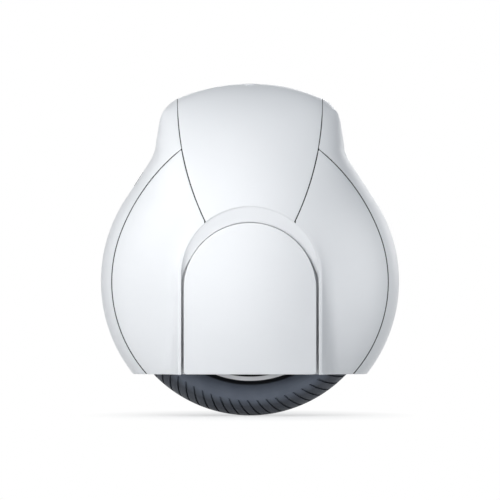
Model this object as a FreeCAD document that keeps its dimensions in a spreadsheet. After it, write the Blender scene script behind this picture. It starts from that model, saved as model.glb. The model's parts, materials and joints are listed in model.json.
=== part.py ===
import FreeCAD
import Part
import Sketcher
import math
import os

V = FreeCAD.Vector

# Driving dimensions in millimetres and degrees. Heights are measured from the axle, widths from the middle plane.
SIZES = {
    # tyre, tube and rim
    "tyre_radius": 180.0,
    "tyre_width": 57.0,
    "tyre_wall": 4.5,
    "tread_depth": 3.0,
    "tread_groove": 2.4,
    "tread_lean": -30.0,
    "tread_begin": 7.0,
    "tread_finish": 74.0,
    "tread_count": 80,
    "bead_radius": 127.0,
    "bead_half": 16.5,
    "bead_width": 4.5,
    "tube_wall": 1.6,
    "tube_gap": 0.3,
    "rim_flange_rise": 6.0,
    "rim_flange": 3.2,
    "rim_well_drop": 8.0,
    "rim_well_half": 9.0,
    "rim_floor": 3.0,
    "rim_ring_half": 25.0,
    "rim_ring": 18.0,
    "valve_radius": 2.9,
    "valve_reach": 10.0,
    "valve_window": 11.0,
    # motor
    "rotor_wall": 6.0,
    "rotor_half": 16.0,
    "magnet_thick": 3.0,
    "magnet_half": 13.0,
    "magnet_width": 12.0,
    "magnet_count": 40,
    "air_gap": 0.9,
    "stator_half": 12.5,
    "stator_depth": 25.0,
    "stator_yoke": 14.0,
    "tooth_count": 36,
    "tooth_width": 6.0,
    "tooth_tip": 12.4,
    "tooth_tip_thick": 3.0,
    "coil_thick": 2.3,
    "coil_overhang": 5.0,
    "hub_half": 8.0,
    "hub_hole": 8.5,
    "hub_hole_count": 6,
    "cover_disc": 4.0,
    "cover_seat": 7.0,
    "cover_boss": 6.5,
    "cover_lip": 2.0,
    "cover_screw": 2.0,
    "cover_screw_length": 11.0,
    "cover_screw_head": 3.6,
    "cover_screw_head_rise": 2.2,
    "cover_screw_count": 12,
    # axle and bearings
    "axle_collar": 15.0,
    "axle_collar_half": 16.0,
    "axle_seat": 10.0,
    "axle_end": 8.0,
    "bearing_radius": 23.5,
    "bearing_width": 14.0,
    "bearing_race": 3.6,
    "ball_radius": 3.1,
    "ball_count": 8,
    "nut_flat": 12.0,
    "nut_thick": 7.0,
    "washer_radius": 15.0,
    "washer_thick": 2.0,
    "axle_spare": 1.0,
    "fit_gap": 0.05,
    # chassis, hanger and mudguard
    "well_half": 35.5,
    "chassis_thick": 3.0,
    "chassis_gap": 1.0,
    "chassis_top": 178.0,
    "chassis_hole": 12.0,
    "guard_gap": 3.5,
    "guard_wall": 2.5,
    "guard_angle": 216.0,
    "hanger_boss": 24.0,
    "hanger_thick": 13.0,
    "hanger_foot": 58.0,
    "hanger_waist": 40.0,
    "hanger_beam": 22.0,
    "hanger_beam_reach": 25.0,
    "hanger_bolt": 3.0,
    "hanger_bolt_head": 5.0,
    "hanger_bolt_rise": 4.5,
    "hanger_bolt_grip": 20.0,
    "hanger_bolt_high": 40.0,
    "hanger_bolt_high_half": 17.0,
    "hanger_bolt_low": 82.0,
    "hanger_bolt_low_half": 26.0,
    # pedal and its bay
    "pedal_radius": 88.0,
    "pedal_drop": 7.5,
    "pedal_corner": 4.0,
    "pedal_foot": 69.0,
    "pedal_inset": 1.0,
    "hinge_half": 78.0,
    "hinge_rise": 11.4,
    "knuckle_round": 8.5,
    "pin_radius": 4.0,
    "pin_spare": 2.0,
    "lug_radius": 8.0,
    "lug_width": 20.0,
    "lug_place": 40.0,
    "lug_gap": 0.8,
    "grip_inset": 9.0,
    "grip_thick": 2.0,
    "grip_sink": 1.0,
    "grip_low": 88.0,
    "grip_rib": 1.6,
    "grip_rib_pitch": 9.0,
    "grip_rib_count": 14,
    "latch_radius": 8.0,
    "latch_half": 44.0,
    "latch_height": 26.0,
    "keeper_thick": 3.0,
    "arch_radius": 92.3,
    "arch_height": 8.8,
    "bay_floor": 66.0,
    "bay_wall": 2.5,
    "bay_lip": 70.0,
    "bay_crown_gap": 3.2,
    "bay_foot_open": 27.0,
    "pod_half": 92.0,
    "pod_top_half": 76.5,
    "pod_bulge": 5.0,
    "pod_lip": 4.5,
    "pod_depth": 60.0,
    "pod_flare": 30.0,
    # body skin
    "body_radius": 201.0,
    "body_rise": 1.0,
    "skirt_height": 123.7,
    "flank_angle": 33.0,
    "neck_half": 122.7,
    "neck_height": 209.0,
    "neck_lean": 9.5,
    "neck_round": 60.0,
    "shoulder_round": 42.0,
    "crown_height": 267.2,
    "crown_round": 247.0,
    "crown_flat": 0.8,
    "body_half": 78.0,
    "waist_height": 60.0,
    "skirt_draw": 8.0,
    "skin_wall": 3.0,
    "seam_gap": 0.9,
    "seam_side": 97.8,
    "seam_side_height": 246.0,
    "seam_side_round": 380.0,
    "seam_ring": 186.0,
    "seam_ring_angle": 21.0,
    "seam_ring_upper": 265.0,
    # handle
    "tunnel_half": 27.0,
    "tunnel_low": 187.5,
    "tunnel_rise": 39.0,
    "tunnel_wall": 2.5,
    "tunnel_round": 12.0,
    "tunnel_gap": 0.4,
    "frame_half": 40.0,
    "frame_wall": 2.8,
    "frame_gap": 0.3,
    "frame_low": 140.0,
    "frame_bolt": 2.5,
    "frame_bolt_head": 4.2,
    "frame_bolt_rise": 3.0,
    "frame_bolt_half": 28.0,
    "frame_bolt_low": 150.0,
    "frame_bolt_high": 168.0,
    # power and controls
    "pack_inner": 98.0,
    "pack_outer": 160.0,
    "pack_low_angle": 38.0,
    "pack_high_angle": 36.0,
    "pack_thick": 18.6,
    "pack_gap": 0.7,
    "board_half": 54.0,
    "board_low": 62.0,
    "board_rise": 74.0,
    "board_thick": 1.6,
    "board_gap": 0.3,
    "sink_base": 3.0,
    "sink_fin": 9.0,
    "sink_fin_thick": 2.0,
    "sink_fin_pitch": 7.0,
    "sink_fin_count": 11,
    "sink_gap": 0.3,
    "bezel_radius": 13.0,
    "bezel_wall": 2.7,
    "bezel_depth": 17.0,
    "bezel_floor": 2.0,
    "button_gap": 0.4,
    "button_travel": 1.6,
    "button_depth": 11.0,
    "bezel_proud": 0.2,
    "button_proud": 0.3,
    "switch_half": 3.0,
    "switch_gap": 0.3,
    "panel_half": 70.0,
    "panel_width": 20.0,
    "panel_thick": 1.6,
    "post_radius": 3.0,
    "post_half": 30.0,
    "post_width": 14.0,
    "lens_place": 46.0,
    "lens_half": 14.0,
    "lens_round": 2.6,
    "lens_gap": 0.15,
    "lens_thick": 2.4,
    "port_height": 139.0,
    "port_half": 14.0,
    "port_length": 24.0,
    "port_round": 4.0,
    "port_gap": 0.5,
    "cap_thick": 2.2,
    "socket_sink": 4.4,
    "socket_plate": 2.0,
    "socket_margin": 4.0,
    "socket_radius": 10.5,
    "socket_bore": 6.0,
    "socket_depth": 12.0,
    "socket_floor": 2.0,
    "socket_collar": 6.0,
    "socket_chamber": 4.6,
    "contact_radius": 1.0,
    "contact_length": 3.6,
    "contact_place": 3.0,
    "contact_count": 3,
}

# How full the plan outline is at the body and at the neck, as shares of the quarter curve's handles.
BODY_FULLNESS_SHARE = 0.74
NECK_FULLNESS_SHARE = 0.92
# Heights of the loft levels, as shares of each stretch of the side outline.
LEVEL_SHARES = (
    (0.0, 0.16, 0.36, 0.56, 0.76, 0.91),
    (0.0, 0.33, 0.7),
    (0.0, 0.55),
    (0.24, 0.8),
    (0.27, 0.65, 0.93),
    (0.3, 0.65, 0.9, 1.0),
)
# Growth of the thickness towards the crown and of the pod flank towards its foot, as powers.
CROWN_POWER = 2.2
POD_POWER = 1.6
POD_LEVEL_SHARES = (-0.2, 0.0, 0.2, 0.4, 0.6, 0.8, 1.0)
# Rounding of the lens ends, as a share of half its width.
LENS_ROUND_SHARE = 0.98

doc = FreeCAD.newDocument("electric_unicycle")
sheet = doc.addObject("Spreadsheet::Sheet", "Sizes")
for row, (alias, number) in enumerate(SIZES.items(), start=1):
    sheet.set(f"A{row}", alias)
    sheet.set(f"B{row}", str(number))
    sheet.setAlias(f"B{row}", alias)
doc.recompute()


class Size:
    """A length together with the sheet expression that gives it."""

    def __init__(self, value, text):
        self.value = value
        self.text = text

    def __add__(self, other):
        other = as_size(other)
        return Size(self.value + other.value, f"({self.text} + {other.text})")

    def __radd__(self, other):
        return as_size(other) + self

    def __sub__(self, other):
        other = as_size(other)
        return Size(self.value - other.value, f"({self.text} - {other.text})")

    def __rsub__(self, other):
        return as_size(other) - self

    def __mul__(self, other):
        other = as_size(other)
        return Size(self.value * other.value, f"({self.text} * {other.text})")

    __rmul__ = __mul__

    def __truediv__(self, other):
        other = as_size(other)
        return Size(self.value / other.value, f"({self.text} / {other.text})")

    def __neg__(self):
        return Size(-self.value, f"(-1 * {self.text})")


def as_size(number):
    return number if isinstance(number, Size) else Size(float(number), repr(float(number)))


class Cells:
    """Driving dimensions by name, bound to their cells."""

    def __getattr__(self, alias):
        return Size(float(sheet.get(alias)), f"Sizes.{alias}")


class Numbers:
    """Driving dimensions by name, as plain numbers for shapes built in code."""

    def __getattr__(self, alias):
        return float(sheet.get(alias))


d = Cells()
s = Numbers()
FULL_TURN = 360.0
NODES = []


def bind(target, name, size):
    target.setExpression(name, as_size(size).text)


def node(label, target):
    """Names a finished piece and lifts it so that the tyre stands on the floor."""
    target.Label = label
    bind(target, "Placement.Base.z", d.tyre_radius)
    NODES.append(target)
    return target


def body(label):
    made = doc.addObject("PartDesign::Body", label)
    made.AllowCompound = True
    return made


def origin_feature(owner, role):
    return [feature for feature in owner.Origin.OriginFeatures if feature.Role == role][0]


def fix_point(sketch, geometry, end, across, up):
    """Holds one point of a sketch at two bound coordinates."""
    for kind, axis, size in (("DistanceX", -2, as_size(across)), ("DistanceY", -1, as_size(up))):
        if size.value == 0.0:
            sketch.addConstraint(Sketcher.Constraint("PointOnObject", geometry, end, axis))
        else:
            index = sketch.addConstraint(Sketcher.Constraint(kind, -1, 1, geometry, end, size.value))
            bind(sketch, f"Constraints[{index}]", size)


def draw_outline(sketch, corners):
    """Draws a closed outline. A corner is (across, up), or (across, up, radius, side) when an arc leads to it."""
    first = sketch.GeometryCount
    points = [V(as_size(corner[0]).value, as_size(corner[1]).value, 0) for corner in corners]
    for index, corner in enumerate(corners):
        begin = points[index - 1]
        finish = points[index]
        if len(corner) == 2:
            sketch.addGeometry(Part.LineSegment(begin, finish))
            continue
        radius = as_size(corner[2])
        chord = finish - begin
        reach = math.sqrt(max(radius.value ** 2 - (chord.Length / 2) ** 2, 0))
        normal = V(-chord.y, chord.x, 0) / chord.Length * corner[3]
        centre = (begin + finish) / 2 + normal * reach
        middle = centre - normal * radius.value
        sketch.addGeometry(Part.Arc(begin, middle, finish))
    count = len(corners)
    for index, corner in enumerate(corners):
        geometry = first + index
        following = first + (index + 1) % count
        end = finishing_end(sketch, geometry, points[index])
        start = 3 - finishing_end(sketch, following, points[(index + 1) % count])
        sketch.addConstraint(Sketcher.Constraint("Coincident", geometry, end, following, start))
        fix_point(sketch, geometry, end, corner[0], corner[1])
        if len(corner) > 2:
            held = sketch.addConstraint(Sketcher.Constraint("Radius", geometry, as_size(corner[2]).value))
            bind(sketch, f"Constraints[{held}]", corner[2])


def finishing_end(sketch, geometry, point):
    """Which end of a piece of outline lies at a point: 1 its start, 2 its end."""
    ends = [sketch.getPoint(geometry, end) for end in (1, 2)]
    gaps = [math.hypot(at.x - point.x, at.y - point.y) for at in ends]
    return 1 if gaps[0] < gaps[1] else 2


def draw_circle(sketch, across, up, radius):
    geometry = sketch.addGeometry(Part.Circle(V(as_size(across).value, as_size(up).value, 0), V(0, 0, 1),
                                              as_size(radius).value))
    fix_point(sketch, geometry, 3, across, up)
    held = sketch.addConstraint(Sketcher.Constraint("Radius", geometry, as_size(radius).value))
    bind(sketch, f"Constraints[{held}]", radius)


def new_sketch(owner, role, outlines=(), circles=(), offset=0.0):
    """A sketch on an origin plane, moved along the plane's normal by a bound offset."""
    made = owner.newObject("Sketcher::SketchObject", owner.Name + "_sketch")
    made.AttachmentSupport = [(origin_feature(owner, role), "")]
    made.MapMode = "FlatFace"
    bind(made, "AttachmentOffset.Base.z", offset)
    for outline in outlines:
        draw_outline(made, outline)
    for circle in circles:
        draw_circle(made, *circle)
    return made


# Direction of each origin plane's normal along its own axis.
NORMALS = {"XY_Plane": 1, "XZ_Plane": -1, "YZ_Plane": 1}


def pad(owner, role, begin, finish, outlines=(), circles=()):
    """Adds material between two bound positions along the axis across the plane."""
    sign = NORMALS[role]
    profile = new_sketch(owner, role, outlines, circles, as_size(begin) * sign)
    made = owner.newObject("PartDesign::Pad", owner.Name + "_pad")
    made.Profile = profile
    bind(made, "Length", as_size(finish) - begin)
    made.Reversed = sign < 0
    return made


def pocket(owner, role, begin, finish, outlines=(), circles=()):
    """Takes material away between two bound positions along the axis across the plane."""
    sign = NORMALS[role]
    profile = new_sketch(owner, role, outlines, circles, as_size(begin) * sign)
    made = owner.newObject("PartDesign::Pocket", owner.Name + "_pocket")
    made.Profile = profile
    bind(made, "Length", as_size(finish) - begin)
    made.Reversed = sign > 0
    return made


def spin(owner, features, count):
    """Repeats features round the axle."""
    made = owner.newObject("PartDesign::PolarPattern", owner.Name + "_round")
    made.Originals = features
    made.Axis = (origin_feature(owner, "Y_Axis"), [""])
    made.Angle = FULL_TURN
    bind(made, "Occurrences", count)
    owner.Tip = made
    return made


def turned(label, outline, angle=None, hollow=()):
    """A body turned about the axle from an outline of (across, radius) corners, with any hollow outlines in it."""
    owner = body(label)
    profile = new_sketch(owner, "YZ_Plane", [outline, *hollow])
    made = owner.newObject("PartDesign::Revolution", label + "_turn")
    made.Profile = profile
    made.ReferenceAxis = (profile, ["H_Axis"])
    made.Angle = FULL_TURN
    if angle is not None:
        bind(made, "Angle", angle)
        made.Midplane = True
    return owner


def ring_outline(begin, finish, inner, outer):
    return [(begin, inner), (begin, outer), (finish, outer), (finish, inner)]


def both_sides(half):
    """Closes a half outline, listed from the middle outwards and back, with its mirror image."""
    corners = [entry for entry in half]
    if as_size(half[0][0]).value == 0.0:
        corners[0] = tuple(half[0][:2]) + tuple(half[1][2:])
    for index in range(len(half) - 1, -1, -1):
        across = as_size(half[index][0])
        arc = tuple(half[index + 1][2:]) if index + 1 < len(half) else ()
        if across.value != 0.0:
            corners.append((-across, half[index][1]) + arc)
    return corners


def rectangle(left, right, low, high):
    return [(left, low), (right, low), (right, high), (left, high)]


def block(name, low, high):
    """A box between two bound corners."""
    made = doc.addObject("Part::Box", name)
    for side, axis, begin, finish in zip(("Length", "Width", "Height"), "xyz", low, high):
        bind(made, side, as_size(finish) - begin)
        bind(made, f"Placement.Base.{axis}", begin)
    return made


def rod(name, radius, begin, length, direction):
    """A cylinder from a bound point along one of the axes."""
    made = doc.addObject("Part::Cylinder", name)
    bind(made, "Radius", radius)
    bind(made, "Height", length)
    made.Placement.Rotation = FreeCAD.Rotation(V(0, 0, 1), direction)
    for axis, size in zip("xyz", begin):
        bind(made, f"Placement.Base.{axis}", size)
    return made


def group(name, members):
    made = doc.addObject("Part::Compound", name)
    made.Links = members
    return made


def cut(name, base, tools):
    made = doc.addObject("Part::Cut", name)
    made.Base = base
    made.Tool = tools[0] if len(tools) == 1 else group(name + "_tools", tools)
    return made


def mirrored(name, source, normal):
    made = doc.addObject("Part::Mirroring", name)
    made.Source = source
    made.Normal = normal
    return made


def coded(name, shape):
    """A piece built in code, its location worked into its geometry."""
    made = doc.addObject("Part::Feature", name)
    settled = shape.copy()
    settled.Placement = FreeCAD.Placement()
    made.Shape = settled.transformed(shape.Placement.toMatrix(), copy=True)
    return made


ACROSS = V(0, 1, 0)
ALONG = V(1, 0, 0)
UP = V(0, 0, 1)


def both_hands(name, source):
    """Names a left piece and its right mirror image."""
    right = mirrored("right_" + name, source, ACROSS)
    node("left_" + name, source)
    # The mirror image already stands where its source was lifted to.
    right.Label = "right_" + name
    NODES.append(right)


def pair(label, source):
    """One node holding a piece on the left and its mirror image on the right."""
    return node(label, group(label, [source, mirrored(label + "_right", source, ACROSS)]))


# Radii and widths that several pieces share.
tyre_half = d.tyre_width / 2
equator = d.tyre_radius - tyre_half
flange_radius = d.bead_radius + d.rim_flange_rise
bead_top = flange_radius + d.rim_flange / 3
well_radius = d.bead_radius - d.rim_well_drop
ring_inner = well_radius - d.rim_ring
rotor_inner = ring_inner - d.rotor_wall
magnet_inner = rotor_inner - d.magnet_thick
stator_radius = magnet_inner - d.air_gap
stator_root = stator_radius - d.stator_depth
stator_inner = stator_root - d.stator_yoke
cover_radius = ring_inner + d.cover_seat
cover_screw_ring = ring_inner + d.cover_seat / 2
cover_face = d.rim_ring_half + d.cover_disc
bearing_begin = cover_face + d.cover_lip - d.bearing_width
bearing_finish = bearing_begin + d.bearing_width
boss_finish = bearing_finish + d.cover_lip
chassis_face = d.well_half + d.chassis_thick
hanger_face = chassis_face + d.hanger_thick
nut_begin = hanger_face + d.washer_thick
axle_finish = nut_begin + d.nut_thick + d.axle_spare
hinge_height = d.hinge_rise - d.skirt_height


def arc_to(across, up, from_across, from_up, side):
    """A corner reached by an arc that leaves its upright tangent at the wider of two points."""
    run = from_across - across
    climb = from_up - up
    return (across, up, (run * run + climb * climb) / (2 * run), side)


def tyre_blank():
    inner_half = tyre_half - d.tyre_wall
    bead_inner = d.bead_half - d.bead_width
    into_bead = arc_to(d.bead_half, bead_top, tyre_half, equator, -1)
    lining = arc_to(bead_inner, bead_top, inner_half, equator, 1)
    return turned("tyre_blank", both_sides([
        (0, d.tyre_radius),
        (tyre_half, equator, tyre_half, -1),
        into_bead,
        (d.bead_half, d.bead_radius),
        (bead_inner, d.bead_radius),
        (bead_inner, bead_top),
        (inner_half, equator, lining[2], 1),
        (0, d.tyre_radius - d.tyre_wall, inner_half, 1),
    ]))


def tread_cutters():
    """Slanted shoulder grooves on both sides, all leaning the same way round."""
    half = s.tyre_width / 2
    middle = s.tyre_radius - half
    centre = V(0, 0, middle)
    angles = [math.radians(angle) for angle in (s.tread_begin, (s.tread_begin + s.tread_finish) / 2, s.tread_finish)]
    directions = [V(0, math.sin(angle), math.cos(angle)) for angle in angles]
    deep = [centre + direction * (half - s.tread_depth) for direction in directions]
    proud = [centre + direction * (half + s.tread_depth) for direction in directions]
    section = Part.Wire([Part.Arc(*deep).toShape(), Part.makeLine(deep[2], proud[2]),
                         Part.Arc(*reversed(proud)).toShape(), Part.makeLine(proud[0], deep[0])])
    band = Part.Face(section).revolve(V(0, 0, 0), ACROSS, FULL_TURN)
    slot = Part.makeBox(s.tread_groove, s.tyre_width, s.tyre_width,
                        V(-s.tread_groove / 2, -half, -half))
    # Seen along the tread's normal, the slot leans away from straight across.
    slot.rotate(V(0, 0, 0), UP, s.tread_lean)
    slot.rotate(V(0, 0, 0), ALONG, -math.degrees(angles[1]))
    slot.translate(centre + directions[1] * half)
    count = int(s.tread_count)
    slots = []
    for index in range(count):
        turned_slot = slot.copy()
        turned_slot.rotate(V(0, 0, 0), ACROSS, FULL_TURN / count * index)
        slots.append(turned_slot)
    left = band.common(Part.makeCompound(slots))
    right = left.mirror(V(0, 0, 0), ACROSS)
    right.rotate(V(0, 0, 0), ACROSS, FULL_TURN / count / 2)
    return coded("tread_grooves", Part.makeCompound([left, right]))


def tube_outline(offset):
    """The space inside the tyre and above the rim's seat, drawn in by an offset."""
    half = tyre_half - d.tyre_wall - offset
    foot = d.bead_half - d.bead_width - offset
    return both_sides([
        (0, d.tyre_radius - d.tyre_wall - offset),
        (half, equator, half, -1),
        arc_to(foot, bead_top, half, equator, -1),
        (foot, d.bead_radius + offset),
    ])


def build_wheel():
    node("tyre", cut("tyre", tyre_blank(), [tread_cutters()]))
    node("inner_tube", turned("inner_tube", tube_outline(d.tube_gap), hollow=[tube_outline(d.tube_gap + d.tube_wall)]))
    stem = body("valve_stem")
    pad(stem, "XY_Plane", well_radius - d.rim_floor - d.valve_reach, d.bead_radius + d.tube_gap,
        circles=[(0, 0, d.valve_radius)])
    node("valve_stem", stem)

    seat_radius = d.bead_radius - d.fit_gap
    flange_in = d.bead_half + d.fit_gap
    flange_out = flange_in + d.rim_flange
    rim_blank = turned("rim_blank", both_sides([
        (d.rim_well_half, well_radius),
        (d.rim_well_half + d.rim_flange / 3, seat_radius),
        (flange_in, seat_radius),
        (flange_in, flange_radius),
        (flange_out, flange_radius),
        (flange_out, well_radius + d.rim_flange),
        (d.rim_ring_half, well_radius),
        (d.rim_ring_half, ring_inner),
    ]))
    turn = math.pi / s.cover_screw_count
    hole = [(cover_screw_ring * math.sin(turn), cover_screw_ring * math.cos(turn), d.cover_screw + d.fit_gap)]
    for begin, finish in ((cover_face - d.cover_screw_length - d.cover_disc, d.rim_ring_half),
                          (-d.rim_ring_half, d.cover_screw_length + d.cover_disc - cover_face)):
        bored = pocket(rim_blank, "XZ_Plane", begin, finish, circles=hole)
        spin(rim_blank, [bored], d.cover_screw_count)
    window = block("valve_window", (-d.valve_window, -d.rim_well_half, well_radius - d.rim_floor - d.rim_ring / 2),
                   (d.valve_window, d.rim_ring_half + d.fit_gap, well_radius - d.rim_floor))
    bore = rod("valve_bore", d.valve_radius + d.fit_gap, (0, 0, ring_inner + d.rim_floor), d.rim_ring, UP)
    node("rim", cut("rim", rim_blank, [window, bore]))

    node("rotor_ring", turned("rotor_ring", ring_outline(-d.rotor_half, d.rotor_half, rotor_inner,
                                                         ring_inner - d.fit_gap)))
    magnets = body("rotor_magnets")
    thin = d.magnet_thick * 0.9
    magnet = pad(magnets, "XZ_Plane", -d.magnet_half, d.magnet_half,
                 [rectangle(-d.magnet_width / 2, d.magnet_width / 2, magnet_inner, magnet_inner + thin)])
    spin(magnets, [magnet], d.magnet_count)
    node("rotor_magnets", magnets)

    cover = turned("left_motor_cover", [
        (d.rim_ring_half, cover_radius),
        (cover_face, cover_radius),
        (cover_face, d.bearing_radius + d.cover_boss + d.cover_lip),
        (boss_finish, d.bearing_radius + d.cover_boss),
        (boss_finish, d.bearing_radius - d.bearing_race),
        (bearing_finish + d.fit_gap, d.bearing_radius - d.bearing_race),
        (bearing_finish + d.fit_gap, d.bearing_radius + d.fit_gap),
        (bearing_begin, d.bearing_radius + d.fit_gap),
        (bearing_begin, d.bearing_radius + d.cover_boss),
        (d.rim_ring_half, d.bearing_radius + d.cover_boss + d.cover_lip),
    ])
    bored = pocket(cover, "XZ_Plane", d.rim_ring_half, cover_face, circles=hole)
    spin(cover, [bored], d.cover_screw_count)
    both_hands("motor_cover", cover)

    screws = body("cover_screws")
    place = hole[0][:2]
    head = pad(screws, "XZ_Plane", cover_face, cover_face + d.cover_screw_head_rise,
               circles=[place + (d.cover_screw_head,)])
    shank = pad(screws, "XZ_Plane", cover_face - d.cover_screw_length, cover_face, circles=[place + (d.cover_screw,)])
    spin(screws, [head, shank], d.cover_screw_count)
    pair("motor_cover_screws", screws)

    outer_race = turned("outer_race", ring_outline(bearing_begin, bearing_finish, d.bearing_radius - d.bearing_race,
                                                   d.bearing_radius))
    pair("bearing_outer_races", outer_race)
    ball_ring = (d.bearing_radius + d.axle_seat) / 2
    balls = body("bearing_ball_set")
    middle = (bearing_begin + bearing_finish) / 2
    ball = balls.newObject("PartDesign::AdditiveSphere", "bearing_ball")
    bind(ball, "Radius", d.ball_radius)
    ball.AttachmentSupport = [(origin_feature(balls, "XY_Plane"), "")]
    ball.MapMode = "FlatFace"
    bind(ball, "AttachmentOffset.Base.y", middle)
    bind(ball, "AttachmentOffset.Base.z", ball_ring)
    spin(balls, [ball], d.ball_count)
    pair("bearing_balls", balls)


def build_axle():
    node("axle", turned("axle", both_sides([
        (0, 0),
        (axle_finish, 0),
        (axle_finish, d.axle_end),
        (d.well_half, d.axle_end),
        (d.well_half, d.axle_seat),
        (d.axle_collar_half, d.axle_seat),
        (d.axle_collar_half, d.axle_collar),
        (0, d.axle_collar),
    ])))
    inner_race = turned("inner_race", ring_outline(bearing_begin, bearing_finish, d.axle_seat + d.fit_gap,
                                                   d.axle_seat + d.bearing_race))
    pair("bearing_inner_races", inner_race)

    core = body("stator_core")
    pad(core, "XZ_Plane", -d.stator_half, d.stator_half, circles=[(0, 0, stator_root), (0, 0, stator_inner)])
    stem = d.tooth_width / 2
    tip = d.tooth_tip / 2
    tip_top = stator_radius - d.air_gap / 3
    tip_low = tip_top - d.tooth_tip_thick
    tooth = pad(core, "XZ_Plane", -d.stator_half, d.stator_half, [both_sides([
        (stem, stator_root - d.tooth_tip_thick),
        (stem, tip_low - d.tooth_tip_thick / 2),
        (tip, tip_low),
        (tip, tip_top),
    ])])
    spin(core, [tooth], d.tooth_count)
    node("stator_core", core)

    coils = body("stator_windings")
    inside = stem + d.fit_gap
    outside = inside + d.coil_thick
    deep_in = d.stator_half + d.fit_gap
    deep_out = deep_in + d.coil_overhang
    coil = pad(coils, "XY_Plane", stator_root + d.tooth_tip_thick / 2, tip_low - d.tooth_tip_thick,
               [rectangle(-outside, outside, -deep_out, deep_out), rectangle(-inside, inside, -deep_in, deep_in)])
    spin(coils, [coil], d.tooth_count)
    node("stator_windings", coils)

    hub = turned("stator_hub", ring_outline(-d.hub_half, d.hub_half, d.axle_collar + d.fit_gap,
                                            stator_inner - d.fit_gap))
    opened = pocket(hub, "XZ_Plane", -d.hub_half, d.hub_half,
                    circles=[(0, (d.axle_collar + stator_inner) / 2, d.hub_hole)])
    spin(hub, [opened], d.hub_hole_count)
    node("stator_hub", hub)

    washer = turned("axle_washer", ring_outline(hanger_face, nut_begin, d.axle_end + d.fit_gap, d.washer_radius))
    pair("axle_washers", washer)
    nut = body("left_axle_nut")
    corner = d.nut_flat / math.cos(math.pi / 6)
    flats = [(corner * math.cos(math.pi / 3 * turn), corner * math.sin(math.pi / 3 * turn)) for turn in range(6)]
    flats[0] = (corner, 0)
    flats[3] = (-corner, 0)
    pad(nut, "XZ_Plane", nut_begin, nut_begin + d.nut_thick, [flats], [(0, 0, d.axle_end + d.fit_gap)])
    both_hands("axle_nut", nut)


def hanger_bolt_places():
    return [(sign * half, -drop) for half, drop in ((d.hanger_bolt_high_half, d.hanger_bolt_high),
                                                    (d.hanger_bolt_low_half, d.hanger_bolt_low)) for sign in (1, -1)]


def common(name, base, tool):
    made = doc.addObject("Part::Common", name)
    made.Base = base
    made.Tool = tool
    return made


def fuse(name, members):
    made = doc.addObject("Part::MultiFuse", name)
    made.Shapes = members
    return made


def build_load_path(cavity):
    """Chassis plates with their floors, mudguard, hangers, pedal pins and their bolts."""
    low = d.chassis_gap - d.skirt_height
    slab = block("chassis_slab", (-2 * d.body_radius, d.well_half, low),
                 (2 * d.body_radius, chassis_face, d.chassis_top))
    floor_begin = d.arch_radius + d.bay_wall + d.chassis_gap
    floor_front = block("chassis_floor_front", (floor_begin, chassis_face, low),
                        (2 * d.body_radius, 2 * d.body_half, low + d.chassis_thick))
    floor_rear = block("chassis_floor_rear", (-2 * d.body_radius, chassis_face, low),
                       (-floor_begin, 2 * d.body_half, low + d.chassis_thick))
    plate = common("chassis_plate", cavity, fuse("chassis_stock", [slab, floor_front, floor_rear]))
    holes = [rod("chassis_axle_hole", d.chassis_hole, (0, d.well_half, 0), d.chassis_thick, ACROSS)]
    for index, (across, up) in enumerate(hanger_bolt_places()):
        holes.append(rod(f"chassis_bolt_hole_{index}", d.hanger_bolt + d.fit_gap, (across, d.well_half, up),
                         d.chassis_thick, ACROSS))
    for index, (across, up) in enumerate(frame_bolt_places()):
        holes.append(rod(f"chassis_frame_hole_{index}", d.frame_bolt + d.fit_gap, (across, d.well_half, up),
                         d.chassis_thick, ACROSS))
    both_hands("chassis", cut("left_chassis", plate, holes))

    guard_inner = d.tyre_radius + d.guard_gap
    node("mudguard", turned("mudguard", ring_outline(-d.well_half, d.well_half, guard_inner,
                                                     guard_inner + d.guard_wall), d.guard_angle))

    hanger = body("left_hanger")
    foot_low = d.chassis_gap - d.skirt_height
    foot_high = foot_low + d.hanger_beam
    pad(hanger, "XZ_Plane", chassis_face, hanger_face, [[
        (-d.hanger_waist, foot_high - d.lug_gap),
        (d.hanger_waist, foot_high - d.lug_gap),
        (d.hanger_boss, 0),
        (0, d.hanger_boss, d.hanger_boss, 1),
        (-d.hanger_boss, 0, d.hanger_boss, 1),
    ]])
    beam_face = chassis_face + d.hanger_beam_reach
    pad(hanger, "XZ_Plane", chassis_face, beam_face,
        [rectangle(-d.hanger_foot, d.hanger_foot, foot_low, foot_high)])
    for sign in (1, -1):
        middle = d.lug_place * sign
        pad(hanger, "YZ_Plane", middle - d.lug_width / 2, middle + d.lug_width / 2, [[
            (beam_face - d.lug_gap, hinge_height - d.lug_radius),
            (d.hinge_half, hinge_height - d.lug_radius),
            (d.hinge_half + d.lug_radius, hinge_height, d.lug_radius, 1),
            (d.hinge_half, hinge_height + d.lug_radius, d.lug_radius, 1),
            (beam_face - d.lug_gap, hinge_height + d.lug_radius),
        ]])
    pocket(hanger, "XZ_Plane", chassis_face, hanger_face,
           circles=[(0, 0, d.axle_end + d.fit_gap)] + [place + (d.hanger_bolt + d.fit_gap,)
                                                       for place in hanger_bolt_places()])
    pocket(hanger, "YZ_Plane", -d.hanger_foot, d.hanger_foot, circles=[(d.hinge_half, hinge_height, d.pin_radius)])
    both_hands("hanger", hanger)

    bolts = body("hanger_bolt_set")
    pad(bolts, "XZ_Plane", hanger_face, hanger_face + d.hanger_bolt_rise,
        circles=[place + (d.hanger_bolt_head,) for place in hanger_bolt_places()])
    pad(bolts, "XZ_Plane", hanger_face - d.hanger_bolt_grip, hanger_face,
        circles=[place + (d.hanger_bolt,) for place in hanger_bolt_places()])
    pair("hanger_bolts", bolts)

    pin_half = d.pedal_radius - d.pin_spare
    pin = body("left_pedal_pin")
    pad(pin, "YZ_Plane", -pin_half, pin_half, circles=[(d.hinge_half, hinge_height, d.pin_radius - d.fit_gap)])
    both_hands("pedal_pin", pin)


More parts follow.
